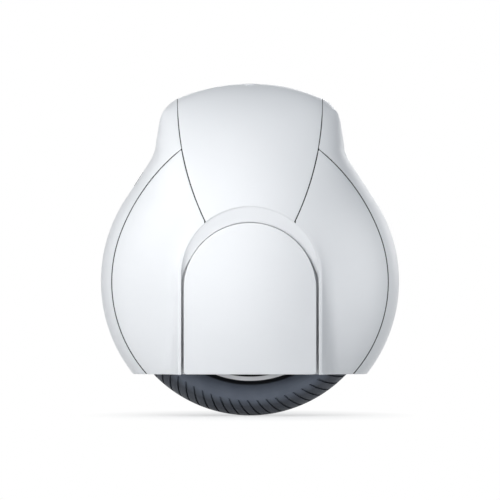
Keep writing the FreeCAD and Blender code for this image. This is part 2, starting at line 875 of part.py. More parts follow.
class Skin:
    """Side outline, thickness and plan fullness of the body as functions of the height above the axle."""

    def __init__(self):
        flank = math.radians(s.flank_angle)
        lean = math.radians(s.neck_lean)
        self.flank = (math.cos(flank), math.sin(flank))
        self.neck = (math.cos(lean), math.sin(lean))
        self.flank_reach = s.body_radius + s.body_rise * self.flank[1]
        self.neck_reach = s.neck_half * self.neck[0] + s.neck_height * self.neck[1]
        # Centre of the hollow between flank and neck.
        determinant = self.flank[0] * self.neck[1] - self.flank[1] * self.neck[0]
        outer_flank = self.flank_reach + s.neck_round
        outer_neck = self.neck_reach + s.neck_round
        self.hollow = ((outer_flank * self.neck[1] - outer_neck * self.flank[1]) / determinant,
                       (self.flank[0] * outer_neck - self.neck[0] * outer_flank) / determinant)
        # Centre of the shoulder between neck and crown.
        self.crown_centre = s.crown_height - s.crown_round
        offset = self.neck_reach - s.shoulder_round - self.crown_centre * self.neck[1]
        reach = math.sqrt((s.crown_round - s.shoulder_round) ** 2 - offset ** 2)
        self.shoulder = (self.neck[0] * offset - self.neck[1] * reach,
                         self.crown_centre + self.neck[1] * offset + self.neck[0] * reach)
        rise = self.shoulder[1] - self.crown_centre
        tilt = rise / math.hypot(self.shoulder[0], rise)
        self.breaks = (s.body_rise + s.body_radius * self.flank[1],
                       self.hollow[1] - s.neck_round * self.flank[1],
                       self.hollow[1] - s.neck_round * self.neck[1],
                       self.shoulder[1] + s.shoulder_round * self.neck[1],
                       self.shoulder[1] + s.shoulder_round * tilt)

    def half_length(self, height):
        if height < self.breaks[0]:
            return math.sqrt(s.body_radius ** 2 - (height - s.body_rise) ** 2)
        if height < self.breaks[1]:
            return (self.flank_reach - height * self.flank[1]) / self.flank[0]
        if height < self.breaks[2]:
            return self.hollow[0] - math.sqrt(s.neck_round ** 2 - (height - self.hollow[1]) ** 2)
        if height < self.breaks[3]:
            return (self.neck_reach - height * self.neck[1]) / self.neck[0]
        if height < self.breaks[4]:
            return self.shoulder[0] + math.sqrt(s.shoulder_round ** 2 - (height - self.shoulder[1]) ** 2)
        return math.sqrt(s.crown_round ** 2 - (height - self.crown_centre) ** 2)

    def half_width(self, height):
        if height < s.waist_height:
            share = (s.waist_height - height) / (s.waist_height + s.skirt_height)
            return s.body_half - s.skirt_draw * share ** 2
        share = (height - s.waist_height) / (s.crown_height - s.waist_height)
        return s.body_half * math.sqrt(1 - share ** CROWN_POWER)

    def fullness(self, height):
        share = (height - self.breaks[0]) / (self.breaks[2] - self.breaks[0])
        share = min(max(share, 0), 1)
        return BODY_FULLNESS_SHARE + (NECK_FULLNESS_SHARE - BODY_FULLNESS_SHARE) * share ** 2 * (3 - 2 * share)

    def levels(self, inset):
        stops = (-s.skirt_height - s.hinge_rise,) + self.breaks + (s.crown_height - s.crown_flat - inset,)
        return [low + (high - low) * share for low, high, shares in zip(stops, stops[1:], LEVEL_SHARES)
                for share in shares]

    def section(self, height, inset):
        length = self.half_length(height) - inset
        width = self.half_width(height) - inset
        full = self.fullness(height)
        edges = []
        for along, across in ((1, 1), (-1, 1), (-1, -1), (1, -1)):
            poles = [V(along * length, 0, height), V(along * length, across * full * width, height),
                     V(along * full * length, across * width, height), V(0, across * width, height)]
            if along * across < 0:
                poles.reverse()
            curve = Part.BezierCurve()
            curve.setPoles(poles)
            edges.append(curve.toShape())
        return Part.Wire(edges)

    def form(self, inset):
        """The body as a full solid, its surface drawn in by an inset."""
        return Part.makeLoft([self.section(height, inset) for height in self.levels(inset)], True)


def arch_wire(radius, centre, foot, across):
    """An arch with upright sides, standing on a level foot."""
    top = V(0, across, centre + radius)
    left = V(-radius, across, centre)
    right = V(radius, across, centre)
    low_left = V(-radius, across, foot)
    low_right = V(radius, across, foot)
    return Part.Wire([Part.makeLine(low_right, right), Part.Arc(right, top, left).toShape(),
                      Part.makeLine(left, low_left), Part.makeLine(low_left, low_right)])


class Bay:
    """The raised surround of a pedal bay and the hollow inside it, on the left side."""

    def __init__(self):
        self.foot = -s.skirt_height - s.hinge_rise
        self.arch_top = s.arch_height + s.arch_radius
        self.tilt = math.degrees(math.atan2(s.pod_half - s.pod_top_half, self.arch_top + s.skirt_height))
        self.pivot = V(0, s.pod_half, -s.skirt_height)
        self.back = s.arch_radius - s.pedal_radius

    def lean(self, shape):
        shape.rotate(self.pivot, ALONG, self.tilt)
        return shape

    def face(self, inset):
        """A wide drum whose surface is the bulged, leaning outer face of the surround."""
        half = s.arch_radius + s.pod_lip
        round_radius = (half ** 2 + s.pod_bulge ** 2) / (2 * s.pod_bulge)
        length = 4 * s.body_radius
        drum = Part.makeCylinder(round_radius - inset, length,
                                 V(0, s.pod_half - round_radius, -s.skirt_height - length / 2))
        return self.lean(drum)

    def pod(self, inset):
        """The surround as a full solid that flares towards the body."""
        wires = []
        for share in POD_LEVEL_SHARES:
            offset = s.pod_lip + s.pod_flare * max(share, 0) ** POD_POWER - inset
            wires.append(arch_wire(s.arch_radius + offset, s.arch_height, self.foot, s.pod_half - s.pod_depth * share))
        flared = self.lean(Part.makeLoft(wires, True))
        return flared.common(self.face(inset))

    def hollow(self, margin):
        """The space for the pedal: a scoop at the crown above an upright-sided well, grown by a margin."""
        centre = s.bay_crown_gap - s.pedal_drop - self.back
        radius = s.arch_radius + margin
        rise = s.arch_height - centre
        mouth = s.pod_top_half
        reach = s.pod_half + s.pod_bulge
        slope = rise / (mouth - s.bay_lip)
        scoop = Part.makeLoft([arch_wire(radius, centre, self.foot, s.bay_lip),
                               arch_wire(radius, centre + slope * (reach - s.bay_lip), self.foot, reach)], True, True)
        floor = s.bay_floor - margin
        well = Part.Face(arch_wire(radius, centre, self.foot, floor)).extrude(V(0, s.bay_lip - floor, 0))
        return scoop.fuse(well).removeSplitter()


def circle_meeting(first, second):
    """The upper right point where two circles, each (across, up, radius), meet."""
    along = V(second[0] - first[0], 0, second[1] - first[1])
    gap = along.Length
    near = (gap ** 2 + first[2] ** 2 - second[2] ** 2) / (2 * gap)
    off = math.sqrt(first[2] ** 2 - near ** 2)
    along.normalize()
    normal = V(-along.z, 0, along.x)
    base = V(first[0], 0, first[1]) + along * near
    return max((base + normal * off, base - normal * off), key=lambda point: point.x + point.z)


def round_edge(circle, begin, finish):
    """The shorter arc of a circle between two of its points."""
    centre = V(circle[0], 0, circle[1])
    middle = (begin + finish) / 2 - centre
    middle.normalize()
    return Part.Arc(begin, centre + middle * circle[2], finish).toShape()


class Seams:
    """Outlines of the skin's panels in the side view, with half a seam gap taken off each."""

    def __init__(self):
        gap = s.seam_gap / 2
        turn = math.radians(s.seam_ring_angle)
        shift = s.seam_ring - s.seam_ring_upper
        self.outward = V(math.cos(turn), 0, math.sin(turn))
        self.upper_centre = (shift * math.cos(turn), shift * math.sin(turn))
        self.low = -s.skirt_height - s.hinge_rise
        self.high = s.crown_height + s.hinge_rise
        self.far = 2 * s.body_radius
        self.gap = gap

    def ring(self, offset):
        return (0.0, 0.0, s.seam_ring + offset)

    def upper(self, offset):
        return self.upper_centre + (s.seam_ring_upper + offset,)

    def side(self, offset):
        return (s.seam_side - s.seam_side_round, s.seam_side_height, s.seam_side_round + offset)

    def arch(self, offset):
        return (0.0, s.arch_height, s.arch_radius + offset)

    def on_circle(self, circle, height):
        return V(circle[0] + math.sqrt(circle[2] ** 2 - (height - circle[1]) ** 2), 0, height)

    def ring_edges(self, offset, junction):
        """The ring seam from the skirt up to its junction."""
        begin = self.on_circle(self.ring(offset), self.low)
        turn = self.outward * (s.seam_ring + offset)
        return begin, [round_edge(self.ring(offset), begin, turn), round_edge(self.upper(offset), turn, junction)]

    def mirror_edges(self, edges):
        return [edge.mirror(V(0, 0, 0), ALONG) for edge in edges]

    def prism(self, edges):
        """A prism through the whole thickness."""
        wire = Part.Wire(Part.__sortEdges__(edges))
        face = Part.Face(wire)
        face.translate(V(0, -self.far, 0))
        return face.extrude(V(0, 2 * self.far, 0))

    def side_cover(self):
        junction = circle_meeting(self.upper(-self.gap), self.side(self.gap))
        end = circle_meeting(self.side(self.gap), self.arch(0))
        begin, edges = self.ring_edges(-self.gap, junction)
        edges.append(round_edge(self.side(self.gap), junction, end))
        mirror_begin = V(-begin.x, 0, begin.z)
        crown = Part.Arc(end, V(0, 0, s.arch_height + s.arch_radius), V(-end.x, 0, end.z)).toShape()
        edges += self.mirror_edges(edges) + [crown, Part.makeLine(begin, mirror_begin)]
        return self.prism(edges)

    def top_cover(self):
        low = circle_meeting(self.side(-self.gap), self.arch(2 * self.gap))
        high = self.on_circle(self.side(-self.gap), self.high)
        edges = [round_edge(self.side(-self.gap), low, high)]
        crown = Part.Arc(low, V(0, 0, s.arch_height + s.arch_radius + 2 * self.gap), V(-low.x, 0, low.z)).toShape()
        edges += self.mirror_edges(edges) + [crown, Part.makeLine(high, V(-high.x, 0, high.z))]
        return self.prism(edges)

    def front_cowl(self):
        junction = circle_meeting(self.upper(self.gap), self.side(self.gap))
        begin, edges = self.ring_edges(self.gap, junction)
        high = self.on_circle(self.side(self.gap), self.high)
        outer_high = V(self.far, 0, self.high)
        outer_low = V(self.far, 0, self.low)
        edges += [round_edge(self.side(self.gap), junction, high), Part.makeLine(high, outer_high),
                  Part.makeLine(outer_high, outer_low), Part.makeLine(outer_low, begin)]
        return self.prism(edges)


def rounded_bar(low, high, radius, direction):
    """A box whose edges along one direction are rounded."""
    bar = Part.makeBox(high.x - low.x, high.y - low.y, high.z - low.z, low)
    edges = [edge for edge in bar.Edges if abs(edge.tangentAt(edge.FirstParameter).dot(direction)) > 1 / 2]
    return bar.makeFillet(radius, edges)


def tunnel_bar(inset):
    reach = 2 * s.body_radius
    low = V(-reach, inset - s.tunnel_half, s.tunnel_low + inset)
    high = V(reach, s.tunnel_half - inset, s.tunnel_low + s.tunnel_rise - inset)
    return rounded_bar(low, high, s.tunnel_round - inset, ALONG)


class Port:
    """Charge port on the rear flank; its own frame runs up the flank, across, and outwards."""

    def __init__(self, skin):
        self.origin = V(-skin.half_length(s.port_height), 0, s.port_height)
        self.angle = s.flank_angle

    def placed(self, shape):
        """Moves a shape from the port's frame (up, across, out) onto the flank."""
        shape.rotate(V(0, 0, 0), ACROSS, self.angle - FULL_TURN / 4)
        shape.translate(self.origin)
        return shape

    def flap(self, gap, low, high):
        half_length = s.port_length / 2 - gap
        half = s.port_half - gap
        return self.placed(rounded_bar(V(-half_length, -half, low), V(half_length, half, high), s.port_round - gap, UP))

    def cap(self, outer):
        """The rubber cap, flush with the skin, with a round hinge bead between its notched upper corners."""
        middle = s.cap_thick / 2
        hinge = s.port_length / 2 - s.port_gap - middle
        beyond = Part.makeBox(s.port_length, 4 * s.port_half, 4 * s.cap_thick,
                              V(hinge, -2 * s.port_half, -2 * s.cap_thick))
        bead_half = s.port_half - s.port_round
        bead = Part.makeCylinder(middle - s.fit_gap, 2 * bead_half, V(hinge, -bead_half, -middle), ACROSS)
        flap = self.flap(s.port_gap, -s.cap_thick, s.cap_thick).common(outer).cut(self.placed(beyond))
        for begin in (bead_half, -bead_half - s.port_half):
            corner = Part.makeBox(s.port_length, s.port_half, 4 * s.cap_thick,
                                  V(hinge - s.cap_thick, begin, -2 * s.cap_thick))
            flap = flap.cut(self.placed(corner))
        return flap.fuse(self.placed(bead))


def build_body(skin):
    """Skin panels, hand tunnel and handle frame, and everything set into the skin."""
    bay = Bay()
    seams = Seams()
    port = Port(skin)
    outer = skin.form(0)
    inner = skin.form(s.skin_wall)
    below = Part.makeBox(4 * s.body_radius, 4 * s.body_radius, s.body_radius,
                         V(-2 * s.body_radius, -2 * s.body_radius, -s.skirt_height - s.body_radius))
    shell = outer.cut(inner).cut(below)

    cowl = shell.common(seams.front_cowl()).cut(tunnel_bar(-s.tunnel_gap))
    node("front_cowl", coded("front_cowl", cowl))
    opening = port.flap(0, -2 * s.socket_sink, 2 * s.socket_sink)
    node("rear_cowl", coded("rear_cowl", cowl.mirror(V(0, 0, 0), ALONG).cut(opening)))

    pod = bay.pod(0)
    pod_inside = bay.pod(s.skin_wall)
    mirrored_pods = [shape.mirror(V(0, 0, 0), ACROSS) for shape in (pod, pod_inside)]
    left_half = Part.makeBox(4 * s.body_radius, 2 * s.body_radius, 4 * s.body_radius,
                             V(-2 * s.body_radius, s.chassis_gap, -2 * s.body_radius))
    hollow = bay.hollow(0)
    void = inner.fuse(pod_inside).cut(bay.hollow(s.bay_wall))
    side = outer.fuse(pod).common(seams.side_cover()).common(left_half).cut(void).cut(hollow).cut(below)
    foot_top = s.bay_foot_open - s.skirt_height
    foot_half = s.pedal_radius - s.pedal_corner
    foot = Part.makeBox(2 * foot_half, s.bay_lip - s.well_half, foot_top + 2 * s.skirt_height,
                        V(-foot_half, s.well_half, -2 * s.skirt_height))
    side = side.cut(foot)
    for sign in (1, -1):
        side = side.cut(Part.makeCylinder(s.latch_radius + s.fit_gap, 2 * s.bay_wall,
                                          V(sign * s.latch_half, s.bay_floor - 2 * s.bay_wall, s.latch_height), ACROSS))
    side = max(side.Solids, key=lambda solid: solid.Volume)
    both_hands("side_cover", coded("left_side_cover", side))

    full_outer = outer.fuse([pod, mirrored_pods[0]])
    full_inner = inner.fuse([pod_inside, mirrored_pods[1]])
    bezel_bore = Part.makeCylinder(s.bezel_radius + s.fit_gap, 2 * s.bezel_depth,
                                   V(0, 0, s.crown_height - s.bezel_depth))
    top = full_outer.common(seams.top_cover()).cut(full_inner).cut(bezel_bore).cut(lens_bar(s.lens_gap))
    node("top_cover", coded("top_cover", max(top.Solids, key=lambda solid: solid.Volume)))
    lens = lens_bar(0).common(outer).cut(skin.form(s.lens_thick))
    node("indicator_lens", coded("indicator_lens", lens))

    tunnel = tunnel_bar(0).cut(tunnel_bar(s.tunnel_wall)).common(outer)
    node("handle_tunnel", coded("handle_tunnel", tunnel))

    node("charge_port_cap", coded("charge_port_cap", port.cap(outer)))
    plate_half = s.port_half + s.socket_margin
    plate_low = -s.socket_sink - s.socket_plate
    plate = Part.makeBox(s.port_length + 2 * s.socket_margin, 2 * plate_half, s.socket_plate,
                         V(-s.port_length / 2 - s.socket_margin, -plate_half, plate_low))
    barrel_low = plate_low - s.socket_depth + s.socket_plate
    barrel = Part.makeCylinder(s.socket_radius, s.socket_depth - s.socket_plate, V(0, 0, barrel_low))
    collar = Part.makeCylinder(s.socket_bore, s.socket_depth, V(0, 0, -s.socket_sink - s.socket_collar))
    chamber = Part.makeCylinder(s.socket_chamber, s.socket_depth, V(0, 0, barrel_low + s.socket_floor))
    socket = plate.fuse(barrel).removeSplitter().cut(collar).cut(chamber)
    node("charge_socket", coded("charge_socket", port.placed(socket)))
    contacts = []
    for index in range(int(s.contact_count)):
        turn = 2 * math.pi / s.contact_count * index
        contacts.append(Part.makeCylinder(s.contact_radius, s.contact_length,
                                          V(s.contact_place * math.cos(turn), s.contact_place * math.sin(turn),
                                            barrel_low + s.socket_floor)))
    node("charge_contacts", coded("charge_contacts", port.placed(Part.makeCompound(contacts))))

    for side_name, sign in (("front", 1), ("rear", -1)):
        pack = battery_pack(skin)
        if sign < 0:
            pack = pack.mirror(V(0, 0, 0), ALONG)
        source = coded(f"left_{side_name}_battery", pack)
        both_hands(f"{side_name}_battery", source)
    build_pedals(bay)


def lens_bar(gap):
    half = s.lens_round + gap
    reach = s.lens_half + gap
    high = 2 * s.crown_height
    low = V(s.lens_place - reach, -half, s.tunnel_low + s.tunnel_rise)
    return rounded_bar(low, V(s.lens_place + reach, half, high), half * LENS_ROUND_SHARE, UP)


def battery_pack(skin):
    """A fan of cells in the front lobe, kept clear of the skin."""
    section = Part.makePolygon([V(s.pack_inner, 0, 0), V(s.pack_outer, 0, 0),
                                V(s.pack_outer, s.pack_thick, 0), V(s.pack_inner, s.pack_thick, 0),
                                V(s.pack_inner, 0, 0)])
    pack = Part.Face(section).revolve(V(0, 0, 0), ACROSS, -s.pack_low_angle - s.pack_high_angle)
    pack.rotate(V(0, 0, 0), ACROSS, s.pack_low_angle)
    pack.translate(V(0, s.well_half + s.chassis_thick + s.pack_gap, 0))
    return pack.common(skin.form(s.skin_wall + s.pack_gap))


def build_pedals(bay):
    """Folding pedals with grips and keepers, and the latch magnets of their bays."""
    hinge = s.hinge_rise - s.skirt_height
    foot = -s.skirt_height
    reach = 2 * s.pod_half
    blank = Part.Face(arch_wire(s.pedal_radius, -s.pedal_drop, foot, s.pedal_foot)).extrude(V(0, reach, 0))
    low_corners = [edge for edge in blank.Edges if abs(edge.CenterOfMass.z - foot) < s.fit_gap
                   and abs(edge.tangentAt(edge.FirstParameter).y) > 1 / 2]
    blank = blank.makeFillet(s.pedal_corner, low_corners)
    blank = blank.common(bay.face(s.pedal_inset))
    knuckle = [edge for edge in blank.Edges if abs(edge.CenterOfMass.z - foot) < s.fit_gap
               and abs(edge.CenterOfMass.y - s.pedal_foot) < s.fit_gap]
    blank = blank.makeFillet(s.knuckle_round, knuckle)
    for sign in (1, -1):
        half = s.lug_width / 2 + s.lug_gap
        low = V(sign * s.lug_place - half, s.bay_floor - s.pedal_foot, foot - s.pod_half)
        room = Part.makeBox(2 * half, s.hinge_half + s.lug_radius + s.lug_gap - low.y,
                            hinge + s.lug_radius + s.lug_gap - low.z, low)
        blank = blank.cut(room)
        blank = blank.cut(Part.makeCylinder(s.latch_radius + s.fit_gap, s.keeper_thick,
                                            V(sign * s.latch_half, s.pedal_foot, s.latch_height), ACROSS))
    blank = blank.cut(Part.makeCylinder(s.pin_radius, 2 * reach, V(-reach, s.hinge_half, hinge), ALONG))
    grip = grip_pad()
    grip_seat = grip_plate(s.pedal_foot, s.pedal_foot + s.grip_sink, s.fit_gap)
    both_hands("pedal", coded("left_pedal", blank.cut(grip_seat)))
    both_hands("pedal_grip", coded("left_pedal_grip", grip))
    discs = [Part.makeCylinder(s.latch_radius, s.keeper_thick - s.fit_gap,
                               V(sign * s.latch_half, s.pedal_foot, s.latch_height), ACROSS) for sign in (1, -1)]
    both_hands("pedal_keeper", coded("left_pedal_keeper", Part.makeCompound(discs)))
    magnets = [Part.makeCylinder(s.latch_radius, s.bay_wall, V(sign * s.latch_half, s.bay_floor - s.bay_wall,
                                                               s.latch_height), ACROSS) for sign in (1, -1)]
    pair("latch_magnets", coded("left_latch_magnets", Part.makeCompound(magnets)))


def grip_plate(begin, finish, gap):
    """An arch plate inside the pedal's outline, open round the keepers, grown by a gap."""
    plate = Part.Face(arch_wire(s.pedal_radius - s.grip_inset + gap, -s.pedal_drop, -s.grip_low - gap, begin))
    plate = plate.extrude(V(0, finish - begin, 0))
    for sign in (1, -1):
        plate = plate.cut(Part.makeCylinder(s.latch_radius + s.grip_rib - gap, finish - begin,
                                            V(sign * s.latch_half, begin, s.latch_height), ACROSS))
    return plate


def grip_pad():
    """The rubber pad: its seat in the pedal and ribs that stand up from it."""
    low = s.pedal_foot + s.grip_sink - s.grip_thick
    pad_solid = grip_plate(low, s.pedal_foot + s.grip_sink - s.fit_gap, 0)
    reach = 2 * s.pedal_radius
    grooves = []
    for index in range(int(s.grip_rib_count)):
        height = s.grip_rib_pitch * (index + 1) - s.grip_low
        grooves.append(Part.makeBox(2 * reach, s.grip_sink / 2, s.grip_rib, V(-reach, low, height)))
    return pad_solid.cut(Part.makeCompound(grooves))


def frame_bolt_places():
    return [(sign * d.frame_bolt_half, up) for up in (d.frame_bolt_low, d.frame_bolt_high) for sign in (1, -1)]


def build_handle_frame():
    roof = d.tunnel_low + d.tunnel_rise + d.frame_gap
    inside = chassis_face + d.fit_gap
    outside = inside + d.frame_wall
    frame = body("handle_frame")
    pad(frame, "YZ_Plane", -d.frame_half, d.frame_half, [[
        (-outside, d.frame_low), (-inside, d.frame_low), (-inside, roof), (inside, roof), (inside, d.frame_low),
        (outside, d.frame_low), (outside, roof + d.frame_wall), (-outside, roof + d.frame_wall),
    ]])
    pocket(frame, "XZ_Plane", -outside, outside,
           circles=[place + (d.frame_bolt + d.fit_gap,) for place in frame_bolt_places()])
    node("handle_frame", frame)
    bolts = body("frame_bolt_set")
    pad(bolts, "XZ_Plane", outside, outside + d.frame_bolt_rise,
        circles=[place + (d.frame_bolt_head,) for place in frame_bolt_places()])
    pad(bolts, "XZ_Plane", d.well_half, outside,
        circles=[place + (d.frame_bolt,) for place in frame_bolt_places()])
    pair("handle_bolts", bolts)
    return roof + d.frame_wall


def build_controls(frame_top):
    """Control board with its heat sink, and the button group under the crown."""
    board = body("control_board")
    board_begin = chassis_face + d.board_gap
    board_finish = board_begin + d.board_thick
    high = d.board_low + d.board_rise
    pad(board, "XZ_Plane", -board_finish, -board_begin, [rectangle(-d.board_half, d.board_half, d.board_low, high)])
    node("control_board", board)
    sink = body("heat_sink")
    sink_begin = board_finish + d.sink_gap
    base_finish = sink_begin + d.sink_base
    pad(sink, "XZ_Plane", -base_finish, -sink_begin, [rectangle(-d.board_half, d.board_half, d.board_low, high)])
    first = -d.sink_fin_pitch * ((s.sink_fin_count - 1) / 2)
    for index in range(int(s.sink_fin_count)):
        left = first + d.sink_fin_pitch * index - d.sink_fin_thick / 2
        pad(sink, "XZ_Plane", -base_finish - d.sink_fin, -base_finish + d.fit_gap,
            [rectangle(left, left + d.sink_fin_thick, d.board_low, high)])
    node("heat_sink", sink)

    bezel_low = d.crown_height - d.bezel_depth
    bezel_top = d.crown_height - d.crown_flat + d.bezel_proud
    button_top = bezel_top + d.button_proud
    cup_low = bezel_low + d.bezel_floor
    bezel = body("button_bezel")
    pad(bezel, "XY_Plane", bezel_low, bezel_top, circles=[(0, 0, d.bezel_radius)])
    pocket(bezel, "XY_Plane", cup_low, bezel_top, circles=[(0, 0, d.bezel_radius - d.bezel_wall)])
    node("button_bezel", bezel)
    button = body("power_button")
    pad(button, "XY_Plane", button_top - d.button_depth, button_top,
        circles=[(0, 0, d.bezel_radius - d.bezel_wall - d.button_gap)])
    node("power_button", button)
    switch = body("button_switch")
    pad(switch, "XY_Plane", cup_low, button_top - d.button_depth - d.button_travel - d.switch_gap,
        [rectangle(-d.switch_half, d.switch_half, -d.switch_half, d.switch_half)])
    node("button_switch", switch)
    panel = body("indicator_board")
    pad(panel, "XY_Plane", bezel_low - d.panel_thick, bezel_low,
        [rectangle(-d.panel_half, d.panel_half, -d.panel_width, d.panel_width)])
    node("indicator_board", panel)
    posts = body("board_posts")
    pad(posts, "XY_Plane", frame_top, bezel_low - d.panel_thick,
        circles=[(along * d.post_half, across * d.post_width, d.post_radius) for along in (1, -1)
                 for across in (1, -1)])
    node("board_posts", posts)


skin_form = Skin()
cavity_inset = s.skin_wall + s.chassis_gap
cavity_form = coded("cavity", skin_form.form(cavity_inset).fuse(Bay().pod(cavity_inset)))
build_wheel()
build_axle()
build_load_path(cavity_form)
build_body(skin_form)
build_controls(build_handle_frame())
doc.recompute()

for item in doc.Objects:
    if "Invalid" in item.State or "Error" in item.State:
        raise RuntimeError(f"{item.Label} did not build")
os.makedirs("parts", exist_ok=True)
for piece in NODES:
    if piece.Shape.isNull() or not piece.Shape.isValid():
        raise RuntimeError(f"{piece.Label} has no valid shape")
for piece in NODES:
    piece.Shape.exportStep(f"parts/{piece.Label}.step")
print(len(NODES), "sub-parts written")
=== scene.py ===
import json
import math

import bmesh
import bpy
import numpy as np
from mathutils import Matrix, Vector


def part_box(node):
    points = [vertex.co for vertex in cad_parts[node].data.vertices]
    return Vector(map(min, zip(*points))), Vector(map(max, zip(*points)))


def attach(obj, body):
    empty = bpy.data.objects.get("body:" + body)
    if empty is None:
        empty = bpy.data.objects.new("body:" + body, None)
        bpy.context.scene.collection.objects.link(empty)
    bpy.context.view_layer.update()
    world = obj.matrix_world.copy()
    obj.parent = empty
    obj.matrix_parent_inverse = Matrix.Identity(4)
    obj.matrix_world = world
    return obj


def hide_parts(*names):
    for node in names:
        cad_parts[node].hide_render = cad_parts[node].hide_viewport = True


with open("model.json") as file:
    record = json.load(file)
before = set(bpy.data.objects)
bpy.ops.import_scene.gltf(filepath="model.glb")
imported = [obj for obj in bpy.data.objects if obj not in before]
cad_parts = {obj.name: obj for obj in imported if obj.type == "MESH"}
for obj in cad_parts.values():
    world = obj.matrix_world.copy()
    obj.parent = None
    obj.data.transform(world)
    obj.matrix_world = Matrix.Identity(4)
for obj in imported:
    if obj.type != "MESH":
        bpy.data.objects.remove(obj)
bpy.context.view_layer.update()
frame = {"nodes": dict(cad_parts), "record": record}

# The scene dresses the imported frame: the white covers and pedals become smooth skins with rolled edges, drawn
# from the same formulas as the solids, and every node gets a finish. Lengths are in metres.

# Body. Heights are measured from the axle, widths from the middle plane.
tyre_low, tyre_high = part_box("tyre")
AXLE = (tyre_low.z + tyre_high.z) / 2
BODY_RADIUS = 0.201
BODY_RISE = 0.001
SKIRT = 0.1237
FLANK_ANGLE = math.radians(33.0)
NECK_HALF = 0.1227
NECK_HEIGHT = 0.209
NECK_LEAN = math.radians(9.5)
NECK_ROUND = 0.060
SHOULDER_ROUND = 0.042
CROWN_HEIGHT = 0.2672
CROWN_ROUND = 0.247
CROWN_FLAT = 0.0008
BODY_HALF = 0.078
WAIST = 0.060
SKIRT_DRAW = 0.008
BODY_FULLNESS_SHARE = 0.74
NECK_FULLNESS_SHARE = 0.92
CROWN_POWER = 2.2

# Seams between the covers.
SEAM_GAP = 0.0011
SEAM_SIDE = 0.0978
SEAM_SIDE_HEIGHT = 0.246
SEAM_SIDE_ROUND = 0.380
SEAM_RING = 0.186
SEAM_RING_ANGLE = math.radians(21.0)
SEAM_RING_UPPER = 0.265
SEAM_ROLL = 0.00035
SEAM_INSET = SEAM_GAP / 2 + SEAM_ROLL
SEAM_MEET = 0.178
SEAM_PINCH = 0.004
SEAM_PINCH_SHARE = 0.32
SEAM_FADE_BEGIN = 0.212
SEAM_FADE_END = 0.240
SEAM_FADE_SHARE = 0.38
# How far the dark strips of painted shade reach past the seam gap, and how deep they sit.
SEAM_SHADE_OVERLAP = 0.0006
SEAM_SHADE_SINK = 0.00025
WALL = 0.003

# Pedal bay and pedal.
ARCH_RADIUS = 0.0923
ARCH_HEIGHT = 0.0088
POD_HALF = 0.092
POD_TOP_HALF = 0.0765
POD_BULGE = 0.005
POD_LIP = 0.0045
POD_SWEEP = 0.024
POD_POWER = 3.3
POD_EDGE = 0.0005
POD_FLUSH = 0.0012
RIM_ROLL = 0.0006
BAY_LIP = 0.070
BAY_FLOOR = 0.06595
BAY_GAP = 0.0007
BAY_GAP_BEGIN = math.radians(5.0)
BAY_GAP_END = math.radians(32.0)
BAY_FOOT_HALF = 0.084
BAY_FOOT_OPEN = 0.027
PEDAL_RADIUS = 0.089
PEDAL_DROP = 0.0095
PEDAL_CORNER = 0.004
PEDAL_FOOT = 0.06905
PEDAL_INSET = 0.001
PEDAL_ROLL = 0.0011
PEDAL_SPINE_LOW = -0.060
KNUCKLE_ROUND = 0.0085
HINGE_RISE = 0.0114
LUG_PLACE = 0.040
LUG_ROOM_HALF = 0.0108
LUG_ROOM_FACE = 0.0868
LUG_ROOM_RISE = 0.0088

# Hand tunnel mouth, button, lens and charge port.
MOUTH_HALF = 0.0274
MOUTH_MIDDLE = 0.207
MOUTH_RISE_HALF = 0.0199
MOUTH_ROUND = 0.0124
MOUTH_ROLL = 0.0012
MOUTH_RIM = 0.0286
MOUTH_RIM_RISE = 0.010
BUTTON_HOLE = 0.0116
BUTTON_HOLE_DEPTH = 0.004
LENS_PLACE = 0.046
LENS_HALF = 0.014
LENS_ROUND = 0.0026
LENS_PROUD = 0.00025
LENS_SHARPNESS = 8
PORT_HEIGHT = 0.139
PORT_HALF = 0.014
PORT_LENGTH_HALF = 0.012
PORT_ROUND = 0.004
PORT_ROLL = 0.0004

# Radii where the painted shade and light of the wheel change, and shares of the plain colour: the rim's well,
# painted dark as shade, and its flange; the groove beside the flange, painted dark as shade; the sidewall,
# painted lighter than the tread as light falling on it; and the tread.
WELL_END = 0.1270
FLANGE_BEGIN = 0.1282
WELL_SHADE_SHARE = 0.03
BEAD_END = 0.1375
SIDEWALL_BEGIN = 0.1395
# The groove beside the rim flange is painted dark: painted shade in the recess.
BEAD_SHADE_SHARE = 0.1
SIDEWALL_END = 0.1586
TREAD_BEGIN = 0.168
# The sidewall is painted lighter than the tread: painted light where light falls on the sidewall.
SIDEWALL_LIGHT_GAIN = 3.2

# Counts of points, rows and columns, how they crowd towards one end, and shares where strips stop or meet.
ARCH_POINTS = 400
LOBE_POINTS = 500
LOBE_STATIONS = 150
LOBE_COLUMNS = 84
LOBE_CROWDING = 1.8
LOBE_END_SHARE = 0.997
CROWN_STATIONS = 60
ROLL_STEPS = 4
SCOOP_STEPS = 14
WELL_STEPS = 4
TOP_COLUMNS = 130
TOP_END_COLUMNS = 32
TOP_ROWS = 110
WINDOW_ROWS = 12
COWL_ROWS = 120
COWL_LOW_ROWS = 90
COWL_HIGH_ROWS = 30
COWL_TOP_ROWS = 40
COWL_COLUMNS = 46
COWL_MIDDLE_COLUMNS = 14
CROWN_SPLIT = 0.6
RING_ROWS = 160
BOW_ROWS = 200
PEDAL_FOOT_POINTS = 80
PEDAL_CORNER_POINTS = 40
PEDAL_SIDE_POINTS = 200
PEDAL_CROWN_POINTS = 300
PEDAL_STATIONS = 150
PEDAL_COLUMNS = 40
PEDAL_CROWDING = 1.6
PEDAL_WALL_ROWS = 16
LENS_STATIONS = 61
LENS_COLUMNS = 21
BISECT_ROUNDS = 45

